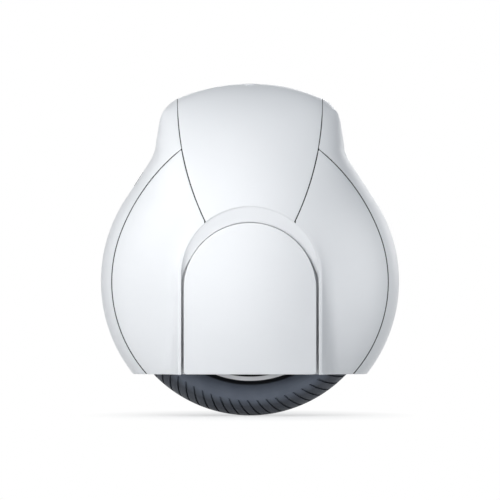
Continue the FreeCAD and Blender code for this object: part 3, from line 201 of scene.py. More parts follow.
# Finish of each slot of the record: two near colours, the range of the roughness and the grain.
FINISHES = {
    "white_gloss": dict(dark=(0.84, 0.845, 0.855), light=(0.86, 0.865, 0.872), rough=(0.34, 0.40),
                        tint_scale=9.0, grain_scale=420.0, grain=0.02, grain_depth=0.00005, specular=0.2),
    "black_plastic": dict(dark=(0.012, 0.013, 0.015), light=(0.02, 0.021, 0.024), rough=(0.45, 0.6),
                          grain_scale=1500.0, grain=0.35),
    "grey_plastic": dict(dark=(0.27, 0.28, 0.295), light=(0.31, 0.32, 0.335), rough=(0.35, 0.45)),
    "tyre_rubber": dict(dark=(0.046, 0.053, 0.068), light=(0.060, 0.069, 0.086), rough=(0.5, 0.64),
                        tint_scale=25.0, grain_scale=700.0, grain=0.25, grain_depth=0.0003),
    "black_rubber": dict(dark=(0.012, 0.012, 0.014), light=(0.02, 0.02, 0.022), rough=(0.6, 0.75),
                         grain_scale=1100.0, grain=0.3),
    "cast_aluminium": dict(dark=(0.56, 0.57, 0.59), light=(0.64, 0.65, 0.67), rough=(0.32, 0.46),
                           grain_scale=1300.0, grain=0.15, metal=1.0),
    "steel": dict(dark=(0.42, 0.43, 0.45), light=(0.52, 0.53, 0.55), rough=(0.25, 0.4), metal=1.0),
    "brass": dict(dark=(0.68, 0.40, 0.20), light=(0.78, 0.52, 0.28), rough=(0.25, 0.4), metal=1.0),
    "clear_lens": dict(dark=(0.62, 0.68, 0.74), light=(0.68, 0.74, 0.80), rough=(0.1, 0.16),
                       grain=0.02, coat=0.6),
    "pack_wrap": dict(dark=(0.03, 0.08, 0.22), light=(0.04, 0.11, 0.28), rough=(0.3, 0.4)),
    "board_green": dict(dark=(0.012, 0.07, 0.035), light=(0.02, 0.10, 0.05), rough=(0.35, 0.5)),
}
NOISE_LOW = 0.3
NOISE_HIGH = 0.7
CLOUD_DETAIL = 3.0
GRAIN_DETAIL = 2.0
GLOSS_FINENESS = 3

# Camera, floor and spots.
VIEW_WIDTH = 0.674
VIEW_HEIGHT = 0.223
VIEW_DISTANCE = 14.0
VIEW_END = 100.0
SENSOR_MM = 36.0
FLOOR_RADIUS = 6.0
FLOOR_SEGMENTS = 96
FLOOR_COLOUR = (0.9, 0.9, 0.9, 1)
FLOOR_ROUGHNESS = 0.9
FLOOR_SQUEEZE = 2.2
FLOOR_FADE_BEGIN = 0.12
FLOOR_FADE_END = 0.5
FLOOR_GLOW_SHARE = 0.55
SPOT_SOFTNESS = 0.05
SPOT_SCALE = (0.7, 1.25, 1)

# Small lengths and steps, and weights that turn a place on the body's ends into an outward direction.
TINY = 1e-9
MERGE = 1e-5
STEP = 1e-5
END_WEIGHTS = np.array((1, 1, 0.3))


def unit(vectors):
    """Vectors of length one; vectors of no length stay as they are."""
    return vectors / np.maximum(np.linalg.norm(vectors, axis=-1, keepdims=True), TINY)


def bisect(function, low, high):
    """Where a falling function of an array crosses zero."""
    for _ in range(BISECT_ROUNDS):
        middle = (low + high) / 2
        above = function(middle) > 0
        low = np.where(above, middle, low)
        high = np.where(above, high, middle)
    return (low + high) / 2


def smooth(share):
    """A share from zero to one that starts and ends level."""
    share = np.clip(share, 0, 1)
    return share ** 2 * (3 - 2 * share)


def plan_along(t, full):
    """Share of the half length on the quarter curve of a level slice."""
    return (1 - t) ** 3 + 3 * t * (1 - t) ** 2 + 3 * full * t ** 2 * (1 - t)


def plan_across(t, full):
    """Share of the half thickness on the quarter curve of a level slice."""
    return 3 * full * t * (1 - t) ** 2 + 3 * t ** 2 * (1 - t) + t ** 3


class Skin:
    """Side outline, thickness and plan fullness of the body as functions of the height above the axle."""

    def __init__(self):
        self.flank = (math.cos(FLANK_ANGLE), math.sin(FLANK_ANGLE))
        self.neck = (math.cos(NECK_LEAN), math.sin(NECK_LEAN))
        self.flank_reach = BODY_RADIUS + BODY_RISE * self.flank[1]
        self.neck_reach = NECK_HALF * self.neck[0] + NECK_HEIGHT * self.neck[1]
        determinant = self.flank[0] * self.neck[1] - self.flank[1] * self.neck[0]
        outer_flank = self.flank_reach + NECK_ROUND
        outer_neck = self.neck_reach + NECK_ROUND
        self.hollow = ((outer_flank * self.neck[1] - outer_neck * self.flank[1]) / determinant,
                       (self.flank[0] * outer_neck - self.neck[0] * outer_flank) / determinant)
        self.crown_centre = CROWN_HEIGHT - CROWN_ROUND
        offset = self.neck_reach - SHOULDER_ROUND - self.crown_centre * self.neck[1]
        reach = math.sqrt((CROWN_ROUND - SHOULDER_ROUND) ** 2 - offset ** 2)
        self.shoulder = (self.neck[0] * offset - self.neck[1] * reach,
                         self.crown_centre + self.neck[1] * offset + self.neck[0] * reach)
        rise = self.shoulder[1] - self.crown_centre
        span = math.hypot(self.shoulder[0], rise)
        self.crown_end = self.shoulder[0] * CROWN_ROUND / span
        self.breaks = (BODY_RISE + BODY_RADIUS * self.flank[1],
                       self.hollow[1] - NECK_ROUND * self.flank[1],
                       self.hollow[1] - NECK_ROUND * self.neck[1],
                       self.shoulder[1] + SHOULDER_ROUND * self.neck[1],
                       self.shoulder[1] + SHOULDER_ROUND * rise / span)

    def half_length(self, height):
        """Half length of a level slice: body round, flank, hollow of the neck, neck, shoulder or crown."""
        def arc(radius, centre):
            return np.sqrt(np.maximum(radius ** 2 - (height - centre) ** 2, 0))

        return np.select(
            [height < stop for stop in self.breaks],
            [arc(BODY_RADIUS, BODY_RISE), (self.flank_reach - height * self.flank[1]) / self.flank[0],
             self.hollow[0] - arc(NECK_ROUND, self.hollow[1]),
             (self.neck_reach - height * self.neck[1]) / self.neck[0],
             self.shoulder[0] + arc(SHOULDER_ROUND, self.shoulder[1])],
            arc(CROWN_ROUND, self.crown_centre))

    def half_width(self, height):
        """Half thickness of a level slice."""
        low = np.maximum(WAIST - height, 0) / (WAIST + SKIRT)
        high = np.clip((height - WAIST) / (CROWN_HEIGHT - WAIST), 0, 1)
        return (BODY_HALF - SKIRT_DRAW * low ** 2) * np.sqrt(1 - high ** CROWN_POWER)

    def fullness(self, height):
        """How far a level slice fills its corners; more in the neck than in the body."""
        share = smooth((height - self.breaks[0]) / (self.breaks[2] - self.breaks[0]))
        return BODY_FULLNESS_SHARE + (NECK_FULLNESS_SHARE - BODY_FULLNESS_SHARE) * share

    def along_to_t(self, along, height):
        """Parameter of the slice curve at a distance along the body."""
        full = self.fullness(height)
        share = np.clip(np.abs(along) / np.maximum(self.half_length(height), TINY), 0, 1)
        low = np.zeros_like(share)
        return bisect(lambda t: plan_along(t, full) - share, low, low + 1)

    def across_to_t(self, across, height):
        """Parameter of the slice curve at a distance across the body."""
        full = self.fullness(height)
        share = np.clip(across / np.maximum(self.half_width(height), TINY), 0, 1)
        low = np.zeros_like(share)
        return bisect(lambda t: share - plan_across(t, full), low, low + 1)

    def pillow(self, along, height):
        """Half thickness of the plain body at a place of the side view."""
        t = self.along_to_t(along, height)
        return self.half_width(height) * plan_across(t, self.fullness(height))

    def roof(self, along):
        """Height of the side outline over a place near the crown."""
        along = np.abs(along)
        crown = self.crown_centre + np.sqrt(CROWN_ROUND ** 2 - np.minimum(along, self.crown_end) ** 2)
        rise = np.sqrt(np.maximum(SHOULDER_ROUND ** 2 - (along - self.shoulder[0]) ** 2, 0))
        return np.where(along < self.crown_end, crown, self.shoulder[1] + rise)

    def face(self, along, height):
        """The leaning, bulged plane of the pedal and of the lip round its bay."""
        lean = (POD_HALF - POD_TOP_HALF) / (ARCH_HEIGHT + ARCH_RADIUS + SKIRT)
        return POD_HALF - lean * (height + SKIRT) - POD_BULGE * (along / (ARCH_RADIUS + POD_LIP)) ** 2

    def outer(self, along, height):
        """Half thickness of the body with the raised lip of the bay sweeping down into it."""
        body = self.pillow(along, height)
        stand = self.face(along, height) - body
        stand = (stand + np.sqrt(stand ** 2 + POD_FLUSH ** 2)) / 2
        away = np.hypot(along, np.maximum(height - ARCH_HEIGHT, 0)) - ARCH_RADIUS - POD_LIP
        away = (away + np.sqrt(away ** 2 + POD_EDGE ** 2)) / 2
        return body + stand * np.clip(1 - away / POD_SWEEP, 0, 1) ** POD_POWER


skin = Skin()


def seam_share(height):
    """How far the seams open at a height: less where three covers meet and towards the crown."""
    pinch = 1 - SEAM_PINCH_SHARE * np.exp(-((height - SEAM_MEET) / SEAM_PINCH) ** 2)
    fade = smooth((height - SEAM_FADE_BEGIN) / (SEAM_FADE_END - SEAM_FADE_BEGIN))
    return pinch * (1 - SEAM_FADE_SHARE * fade)


def ring_seam(height, offset):
    """Distance of the ring seam from the middle at a height."""
    offset = offset * seam_share(height)
    turn = SEAM_RING * math.sin(SEAM_RING_ANGLE)
    shift = SEAM_RING - SEAM_RING_UPPER
    low = np.sqrt(np.maximum((SEAM_RING + offset) ** 2 - height ** 2, 0))
    up = height - shift * math.sin(SEAM_RING_ANGLE)
    high = np.sqrt(np.maximum((SEAM_RING_UPPER + offset) ** 2 - up ** 2, 0))
    return np.where(height < turn, low, shift * math.cos(SEAM_RING_ANGLE) + high)


def side_seam(height, offset):
    """Distance of the bowed seam beside the top cover from the middle at a height."""
    radius = SEAM_SIDE_ROUND + offset * seam_share(height)
    return SEAM_SIDE - SEAM_SIDE_ROUND + np.sqrt(radius ** 2 - (height - SEAM_SIDE_HEIGHT) ** 2)


def seam_height(along, offset):
    """Height of the bowed seam at a distance from the middle."""
    return bisect(lambda z: along - side_seam(z, offset), np.full_like(along, ARCH_HEIGHT),
                  np.full_like(along, SEAM_SIDE_HEIGHT))


def seam_junction(ring_offset, side_offset):
    """Height where the ring seam runs into the bowed seam."""
    return float(bisect(lambda z: ring_seam(z, ring_offset) - side_seam(z, side_offset),
                        np.array(ARCH_HEIGHT), np.array(SEAM_SIDE_HEIGHT)))


def seam_tip(side_offset):
    """Height where the bowed seam meets the side outline over the shoulder."""
    return float(bisect(lambda z: skin.half_length(z) - side_seam(z, side_offset),
                        np.array(NECK_HEIGHT), np.array(CROWN_HEIGHT))) - MERGE


def seam_foot(side_offset, radius):
    """Height where the bowed seam runs into the arch."""
    return float(bisect(lambda z: radius - np.hypot(side_seam(z, side_offset), z - ARCH_HEIGHT),
                        np.array(ARCH_HEIGHT), np.array(SEAM_SIDE_HEIGHT)))


def resample(line, shares):
    """Points at shares of the length of a finely drawn line."""
    lengths = np.concatenate([[0], np.cumsum(np.linalg.norm(np.diff(line, axis=0), axis=1))])
    return np.stack([np.interp(shares * lengths[-1], lengths, line[:, axis]) for axis in range(2)], axis=1)


def new_object(name, data):
    """An object of the scene that holds a mesh, a camera or a lamp."""
    thing = bpy.data.objects.new(name, data)
    bpy.context.scene.collection.objects.link(thing)
    return thing


class Shell:
    """Collects grids of points and makes one mesh of them."""

    def __init__(self):
        self.points = []
        self.faces = []

    def grid(self, points, outward):
        """Adds a grid of points whose faces look along a field of outward vectors."""
        rows, columns = points.shape[:2]
        start = sum(len(block) for block in self.points)
        index = start + np.arange(rows * columns).reshape(rows, columns)
        normal = np.cross(points[1:, :-1] - points[:-1, :-1], points[:-1, 1:] - points[:-1, :-1])
        corners = [index[:-1, :-1], index[1:, :-1], index[1:, 1:], index[:-1, 1:]]
        if np.sum(normal * outward[:-1, :-1]) < 0:
            corners.reverse()
        self.points.append(points.reshape(-1, 3))
        self.faces += np.stack(corners, axis=-1).reshape(-1, 4).tolist()

    def polygon(self, points):
        """Adds one flat face."""
        start = sum(len(block) for block in self.points)
        self.points.append(np.asarray(points))
        self.faces.append(list(range(start, start + len(points))))

    def make(self, name, mirror=(1, 1, 1)):
        """The mesh object, lifted from the axle to the floor and mirrored where asked."""
        points = np.concatenate(self.points) * np.array(mirror) + np.array((0, 0, AXLE))
        mesh = bpy.data.meshes.new(name)
        mesh.from_pydata(points.tolist(), [], self.faces)
        work = bmesh.new()
        work.from_mesh(mesh)
        bmesh.ops.remove_doubles(work, verts=work.verts, dist=MERGE)
        bmesh.ops.dissolve_degenerate(work, edges=work.edges, dist=MERGE)
        if np.prod(mirror) < 0:
            bmesh.ops.reverse_faces(work, faces=work.faces)
        work.to_mesh(mesh)
        work.free()
        mesh.polygons.foreach_set("use_smooth", [True] * len(mesh.polygons))
        return new_object(name, mesh)


def grid_normals(points, outward):
    """Normals of a grid, turned to a field of outward vectors."""
    normal = unit(np.cross(np.gradient(points, axis=0), np.gradient(points, axis=1)))
    facing = np.sign(np.sum(normal * outward, axis=-1, keepdims=True))
    return normal * np.where(facing == 0, 1, facing)


def rolled(points, normals, side, radius, depth, away=None):
    """Extends a grid past one side: the edge rolls inwards through a quarter turn and goes down as a flange.

    It rolls away from the grid's next line, or along a given direction.
    """
    axis = 0 if side.endswith("row") else 1
    points = np.moveaxis(points, axis, 0)
    normals = np.moveaxis(normals, axis, 0)
    last = side.startswith("last")
    if last:
        points = points[::-1]
        normals = normals[::-1]
    edge = points[0]
    normal = normals[0]
    away = edge - points[1] if away is None else np.zeros_like(edge) + away
    away = unit(away - normal * np.sum(away * normal, axis=-1, keepdims=True))
    new_points = []
    new_normals = []
    for angle in np.linspace(0, math.pi / 2, ROLL_STEPS + 1)[1:]:
        new_points.append(edge + away * radius * math.sin(angle) - normal * radius * (1 - math.cos(angle)))
        new_normals.append(normal * math.cos(angle) + away * math.sin(angle))
    new_points.append(new_points[-1] - normal * depth)
    new_normals.append(away)
    points = np.concatenate([np.stack(new_points[::-1]), points])
    normals = np.concatenate([np.stack(new_normals[::-1]), normals])
    if last:
        points = points[::-1]
        normals = normals[::-1]
    return np.moveaxis(points, 0, axis), np.moveaxis(normals, 0, axis)


def lift(along, height):
    """Points of the body's outer side over places of the side view."""
    return np.stack([along, skin.outer(along, height), height], axis=-1)


def arch_path(radius, end_angle, count):
    """Places on the right half of the arch from its foot to an angle."""
    straight = np.linspace(-SKIRT, ARCH_HEIGHT, ARCH_POINTS)
    turn = np.linspace(0, end_angle, ARCH_POINTS)[1:]
    line = np.concatenate([np.stack([np.full_like(straight, radius), straight], axis=1),
                           np.stack([radius * np.cos(turn), ARCH_HEIGHT + radius * np.sin(turn)], axis=1)])
    return resample(line, np.linspace(0, 1, count))


def lobe_grid():
    """The right lobe of a side cover, from the arch to the ring seam and the bowed seam above it.

    Also returns the places on the arch and the angle where the bowed seam meets it.
    """
    radius = ARCH_RADIUS + RIM_ROLL
    junction = seam_junction(-SEAM_INSET, SEAM_INSET)
    foot = seam_foot(SEAM_INSET, radius)
    end_angle = math.asin((foot - ARCH_HEIGHT) / radius)
    inner = arch_path(radius, end_angle, LOBE_STATIONS)
    rise = np.linspace(-SKIRT, junction, LOBE_POINTS)
    fall = np.linspace(junction, foot, LOBE_POINTS)[1:]
    line = np.concatenate([np.stack([ring_seam(rise, -SEAM_INSET), rise], axis=1),
                           np.stack([side_seam(fall, SEAM_INSET), fall], axis=1)])
    outer = resample(line, np.linspace(0, 1, LOBE_STATIONS))
    keep = slice(0, int(LOBE_STATIONS * LOBE_END_SHARE))
    shares = np.linspace(0, 1, LOBE_COLUMNS) ** LOBE_CROWDING
    places = inner[keep, None, :] + (outer - inner)[keep, None, :] * shares[None, :, None]
    return lift(places[..., 0], places[..., 1]), inner, end_angle


def tub_grid(inner, end_angle):
    """The wall of the bay: a rolled rim, the scoop under the crown and the upright-sided well."""
    radius = ARCH_RADIUS + RIM_ROLL
    turn = np.linspace(end_angle, math.pi - end_angle, CROWN_STATIONS)[1:-1]
    crown = np.stack([radius * np.cos(turn), ARCH_HEIGHT + radius * np.sin(turn)], axis=1)
    path = np.concatenate([inner, crown, inner[::-1] * np.array((-1, 1))])
    along, height = path[:, 0], path[:, 1]
    above = np.maximum(height - ARCH_HEIGHT, 0)
    inward = unit(np.stack([-along, -above], axis=1))
    across = skin.outer(along, height)
    slope_along = (skin.outer(along + STEP, height) - across) / STEP
    slope_up = (skin.outer(along, height + STEP) - across) / STEP
    normal = unit(np.stack([-slope_along, np.ones_like(along), -slope_up], axis=1))
    sink = inward[:, 0] * slope_along + inward[:, 1] * slope_up
    away = unit(np.stack([inward[:, 0], sink, inward[:, 1]], axis=1))
    edge = np.stack([along, across, height], axis=1)
    rows = [edge + away * RIM_ROLL * math.sin(angle) - normal * RIM_ROLL * (1 - math.cos(angle))
            for angle in np.linspace(0, math.pi / 2, ROLL_STEPS + 1)]
    start = rows[-1]
    side = -inward * ARCH_RADIUS
    narrow = smooth((np.arctan2(above, np.abs(along)) - BAY_GAP_BEGIN) / (BAY_GAP_END - BAY_GAP_BEGIN))
    side_gap = ARCH_RADIUS - PEDAL_RADIUS
    well_gap = side_gap + (BAY_GAP - side_gap) * narrow
    well = -inward * (PEDAL_RADIUS + well_gap)[:, None]
    stand_share = (np.minimum(height, ARCH_HEIGHT) + SKIRT) / (ARCH_HEIGHT + SKIRT)
    for share in np.linspace(0, 1, SCOOP_STEPS + 1)[1:]:
        centre = ARCH_HEIGHT - (PEDAL_DROP + ARCH_HEIGHT) * share
        ring = side + (well - side) * share
        place_up = np.where(height > ARCH_HEIGHT, centre + ring[:, 1], stand_share * (centre + SKIRT) - SKIRT)
        depth = start[:, 1] + (BAY_LIP - start[:, 1]) * share
        rows.append(np.stack([ring[:, 0], depth, place_up], axis=1))
    wall = rows[-1]
    for depth in np.linspace(BAY_LIP, BAY_FLOOR, WELL_STEPS + 1)[1:]:
        rows.append(np.stack([wall[:, 0], np.full_like(along, depth), wall[:, 2]], axis=1))
    return np.stack(rows)


def side_cover(name, side):
    """One moulded side cover: two lobes, the lip round the bay and the bay itself."""
    shell = Shell()
    grid, inner, end_angle = lobe_grid()
    for mirror in (1, -1):
        points = grid * np.array((mirror, 1, 1))
        outward = np.zeros_like(points) + np.array((0, 1, 0))
        normals = grid_normals(points, outward)
        points, normals = rolled(points, normals, "last_column", SEAM_ROLL, WALL)
        points, normals = rolled(points, normals, "first_row", SEAM_ROLL, WALL)
        shell.grid(points, normals)
    tub = tub_grid(inner, end_angle)
    inward = np.zeros_like(tub)
    inward[..., 0] = -tub[..., 0]
    inward[..., 2] = ARCH_HEIGHT - np.maximum(tub[..., 2], ARCH_HEIGHT)
    shell.grid(tub, inward)
    floor = tub[-1]
    foot = [(-BAY_FOOT_HALF, BAY_FLOOR, -SKIRT), (-BAY_FOOT_HALF, BAY_FLOOR, BAY_FOOT_OPEN - SKIRT),
            (BAY_FOOT_HALF, BAY_FLOOR, BAY_FOOT_OPEN - SKIRT), (BAY_FOOT_HALF, BAY_FLOOR, -SKIRT)]
    shell.polygon(np.concatenate([floor, np.array(foot)]))
    return shell.make(name, mirror=(1, side, 1))


def top_cover():
    """The cover over the neck, from bay to bay across the crown, with a round hole for the button."""
    arch = ARCH_RADIUS + RIM_ROLL + SEAM_ROLL
    corner = float(side_seam(np.array(seam_foot(-SEAM_INSET, arch)), -SEAM_INSET))
    reach = SEAM_SIDE - SEAM_INSET * float(seam_share(np.array(SEAM_SIDE_HEIGHT)))
    inside = np.linspace(-corner, corner, TOP_COLUMNS)
    outside = reach - (reach - corner) * np.linspace(1, 0, TOP_END_COLUMNS)[1:] ** 2
    along = np.concatenate([-outside[::-1], inside, outside])
    over_arch = ARCH_HEIGHT + np.sqrt(np.maximum(arch ** 2 - along ** 2, 0))
    low = np.where(np.abs(along) < corner + MERGE, over_arch, seam_height(np.abs(along), -SEAM_INSET))
    share = np.linspace(-1, 1, 2 * TOP_ROWS + 1)
    roof = skin.roof(along)
    height = roof[None, :] - (roof - low)[None, :] * share[:, None] ** 2
    places = np.broadcast_to(along[None, :], height.shape)
    side = np.broadcast_to(np.sign(share)[:, None], height.shape)
    across = skin.outer(places, height) * side
    slope_along = (skin.outer(places + STEP, height) - skin.outer(places - STEP, height)) / (2 * STEP)
    slope_up = (skin.outer(places, height + STEP) - skin.outer(places, height - STEP)) / (2 * STEP)
    normals = unit(np.stack([-slope_along, side, -slope_up], axis=-1))
    over = height - CROWN_HEIGHT + CROWN_FLAT
    height = height - (over + np.sqrt(over ** 2 + CROWN_FLAT ** 2 / 4)) / 2
    points = np.stack([places, across, height], axis=-1)
    hole = np.hypot(places, across) < BUTTON_HOLE
    points[..., 2] -= np.where(hole & (height > NECK_HEIGHT), BUTTON_HOLE_DEPTH, 0)
    for edge, away in (("first_row", None), ("last_row", None),
                       ("first_column", (-1, 0, 0)), ("last_column", (1, 0, 0))):
        points, normals = rolled(points, normals, edge, SEAM_ROLL, WALL, away)
    shell = Shell()
    shell.grid(points, normals)
    return shell.make("top_cover_skin")


class Window:
    """A rounded rectangular hole in a cowl, drawn at the start of its rolled edge."""

    def __init__(self, middle, half_rise, half, round_across, round_up, roll):
        self.middle = middle
        self.low = middle - half_rise - roll
        self.high = middle + half_rise + roll
        self.straight = half - round_across
        self.round_across = round_across + roll
        self.round_up = round_up + roll
        self.roll = roll

    def rows(self):
        """Heights of grid rows that follow the hole's rounded corners."""
        corner = self.round_up * (1 - np.cos(np.linspace(0, math.pi / 2, WINDOW_ROWS)))
        upright = np.linspace(self.low + self.round_up, self.high - self.round_up, WINDOW_ROWS)[1:-1]
        return np.concatenate([self.low + corner, upright, (self.high - corner)[::-1]])

    def edge(self, height):
        """Half width of the hole; past its ends, the half length of its straight edges."""
        rise = np.abs(height - self.middle) - (self.high - self.low) / 2 + self.round_up
        share = np.clip(rise / self.round_up, 0, 1)
        return self.straight + self.round_across * np.sqrt(1 - share ** 2)


def end_place(t, level):
    """Points of the plain body at places of its level slices."""
    full = skin.fullness(level)
    return np.stack([skin.half_length(level) * plan_along(t, full),
                     skin.half_width(level) * plan_across(t, full), level], axis=-1)


def end_normals(t, level):
    """Outward directions of the plain body at places of its level slices."""
    return unit(np.cross(end_place(t + STEP, level) - end_place(t - STEP, level),
                         end_place(t, level + STEP) - end_place(t, level - STEP)))


def cowl_strip(height, begin, finish, bound, columns):
    """A grid on the body's end between two parameters of the slice curve per height, and its plain normals.

    Round the mouth of the hand tunnel it swells out to the side outline, falling off to nothing at the seam.
    """
    t = begin[:, None] + (finish - begin)[:, None] * np.linspace(0, 1, columns)[None, :]
    level = np.broadcast_to(height[:, None], t.shape)
    full = skin.fullness(level)
    points = end_place(t, level)
    rim = skin.across_to_t(np.full_like(height, MOUTH_RIM), height)[:, None]
    away = np.maximum(np.abs(level - MOUTH_MIDDLE) - MOUTH_RISE_HALF - MOUTH_ROLL, 0)
    fall = smooth((bound[:, None] - t) / np.maximum(bound[:, None] - rim, MERGE))
    raised = (1 - smooth(away / MOUTH_RIM_RISE)) * fall
    points[..., 0] += skin.half_length(level) * raised * (1 - plan_along(np.minimum(t, rim), full))
    return points, end_normals(t, level)


def cowl(name, end, mouth, port=None):
    """The band round one end of the body, with the mouth of the hand tunnel and perhaps the charge port.

    On each side of the middle plane it has a strip beside the seam, and strips above and below the holes.
    """
    junction = seam_junction(SEAM_INSET, SEAM_INSET)
    tip = seam_tip(SEAM_INSET)
    middles = [(np.linspace(-SKIRT, mouth.low, COWL_ROWS), None)]
    rolls = {-SKIRT: SEAM_ROLL, mouth.low: MOUTH_ROLL, mouth.high: MOUTH_ROLL}
    if port:
        middles = [(np.linspace(-SKIRT, port.low, COWL_LOW_ROWS), None), (port.rows(), port),
                   (np.linspace(port.high, mouth.low, COWL_HIGH_ROWS), None)]
        rolls.update({port.low: port.roll, port.high: port.roll})
    middles.append((tip - (tip - mouth.high) * np.linspace(1, 0, COWL_TOP_ROWS) ** 2, None))
    height = np.unique(np.concatenate([rows for rows, _ in middles] + [mouth.rows()]))

    def seam(rows):
        along = np.where(rows < junction, ring_seam(rows, SEAM_INSET), side_seam(rows, SEAM_INSET))
        return skin.along_to_t(along, rows)

    begin = seam(height)
    finish = np.minimum(skin.across_to_t(mouth.edge(height), height), begin * CROWN_SPLIT)
    strip, seam_normals = cowl_strip(height, begin, finish, begin, COWL_COLUMNS)
    window = (height >= mouth.low) & (height <= mouth.high)
    shell = Shell()
    for mirror in (1, -1):
        flip = np.array((1, mirror, 1))
        normals = grid_normals(strip * flip, strip * flip * END_WEIGHTS)
        lip, lip_normals = rolled((strip * flip)[window], normals[window], "last_column", mouth.roll, WALL)
        shell.grid(lip[:, COWL_COLUMNS - 1:], lip_normals[:, COWL_COLUMNS - 1:])
        points, normals = rolled(strip * flip, seam_normals * flip, "first_column", SEAM_ROLL, WALL)
        points, normals = rolled(points, normals, "first_row", SEAM_ROLL, WALL)
        shell.grid(points, normals)
        for rows, hole in middles:
            bound = seam(rows)
            edge = np.minimum(skin.across_to_t(np.full_like(rows, mouth.straight), rows), bound * CROWN_SPLIT)
            end_t = skin.across_to_t(hole.edge(rows), rows) if hole else np.zeros_like(rows)
            points = cowl_strip(rows, edge, end_t, bound, COWL_MIDDLE_COLUMNS)[0] * flip
            normals = grid_normals(points, points * END_WEIGHTS)
            if hole:
                points, normals = rolled(points, normals, "last_column", hole.roll, WALL)
            else:
                if rows[0] in rolls:
                    points, normals = rolled(points, normals, "first_row", rolls[rows[0]], WALL)
                if rows[-1] in rolls:
                    points, normals = rolled(points, normals, "last_row", rolls[rows[-1]], WALL)
            shell.grid(points, normals)
    return shell.make(name, mirror=(end, 1, 1))


def seam_shade_strip():
    """Dark strips deep in the seams between the covers and the cowls: painted shade, standing in for the shadow
    inside the seams.
    """
    half = SEAM_GAP / 2 + SEAM_SHADE_OVERLAP
    foot = seam_foot(0, ARCH_RADIUS + SEAM_GAP)
    tip = seam_tip(0)
    shell = Shell()
    for height, seam in ((np.linspace(-SKIRT, seam_junction(0, 0), RING_ROWS), ring_seam),
                         (tip - (tip - foot) * np.linspace(1, 0, BOW_ROWS) ** 2, side_seam)):
        points = np.stack([lift(seam(height, offset), height) for offset in (-half, 0, half)], axis=1)
        normals = grid_normals(points, points * END_WEIGHTS)
        for flip in np.array(((1, 1, 1), (-1, 1, 1), (1, -1, 1), (-1, -1, 1))):
            shell.grid((points - normals * SEAM_SHADE_SINK) * flip, normals * flip)
    return shell.make("seam_shade_strip")


def pedal_outline():
    """Right half of the pedal's outline, from mid-foot to the crown, and the spine it fans from."""
    foot = np.linspace(0, PEDAL_RADIUS - PEDAL_CORNER, PEDAL_FOOT_POINTS)
    bend = np.linspace(-math.pi / 2, 0, PEDAL_CORNER_POINTS)[1:]
    straight = np.linspace(PEDAL_CORNER - SKIRT, -PEDAL_DROP, PEDAL_SIDE_POINTS)[1:]
    turn = np.linspace(0, math.pi / 2, PEDAL_CROWN_POINTS)[1:]
    line = np.concatenate([
        np.stack([foot, np.full_like(foot, -SKIRT)], axis=1),
        np.stack([PEDAL_RADIUS - PEDAL_CORNER * (1 - np.cos(bend)),
                  PEDAL_CORNER - SKIRT + PEDAL_CORNER * np.sin(bend)], axis=1),
        np.stack([np.full_like(straight, PEDAL_RADIUS), straight], axis=1),
        np.stack([PEDAL_RADIUS * np.cos(turn), PEDAL_RADIUS * np.sin(turn) - PEDAL_DROP], axis=1)])
    outline = resample(line, np.linspace(0, 1, PEDAL_STATIONS))
    spine = np.stack([np.zeros(PEDAL_STATIONS), np.clip(outline[:, 1], PEDAL_SPINE_LOW, -PEDAL_DROP)], axis=1)
    return outline, spine


def pedal_sheet(across, outline, spine):
    """A grid from the spine to the outline drawn in by the edge radius."""
    reach = outline - spine
    length = np.linalg.norm(reach, axis=1, keepdims=True)
    end = spine + reach * (1 - PEDAL_ROLL / length)
    shares = 1 - np.linspace(1, 0, PEDAL_COLUMNS) ** PEDAL_CROWDING
    places = spine[:, None, :] + (end - spine)[:, None, :] * shares[None, :, None]
    return np.stack([places[..., 0], across(places[..., 0], places[..., 1]), places[..., 1]], axis=-1)


def round_knuckle(points):
    """Pulls the lower back edge of a pedal onto the round of its knuckle."""
    centre = np.array((PEDAL_FOOT + KNUCKLE_ROUND, KNUCKLE_ROUND - SKIRT))
    offset = points[:, 1:] - centre
    distance = np.linalg.norm(offset, axis=1, keepdims=True)
    outside = (offset[:, :1] < 0) & (offset[:, 1:] < 0) & (distance > KNUCKLE_ROUND)
    pulled = centre + offset * KNUCKLE_ROUND / np.maximum(distance, TINY)
    points[:, 1:] = np.where(outside, pulled, points[:, 1:])


def cut_box(piece, low, high):
    """Cuts a box out of a closed piece."""
    low, high = np.minimum(low, high), np.maximum(low, high)
    mesh = bpy.data.meshes.new("cutter")
    work = bmesh.new()
    bmesh.ops.create_cube(work, size=1)
    for vertex in work.verts:
        vertex.co = Vector((np.array(vertex.co) + 0.5) * (high - low) + low)
    work.to_mesh(mesh)
    work.free()
    cutter = new_object("cutter", mesh)
    modifier = piece.modifiers.new("cut", "BOOLEAN")
    modifier.operation = "DIFFERENCE"
    modifier.solver = "EXACT"
    modifier.object = cutter
    bpy.context.view_layer.update()
    done = bpy.data.meshes.new_from_object(piece.evaluated_get(bpy.context.evaluated_depsgraph_get()))
    piece.modifiers.remove(modifier)
    piece.data = done
    bpy.data.objects.remove(cutter)


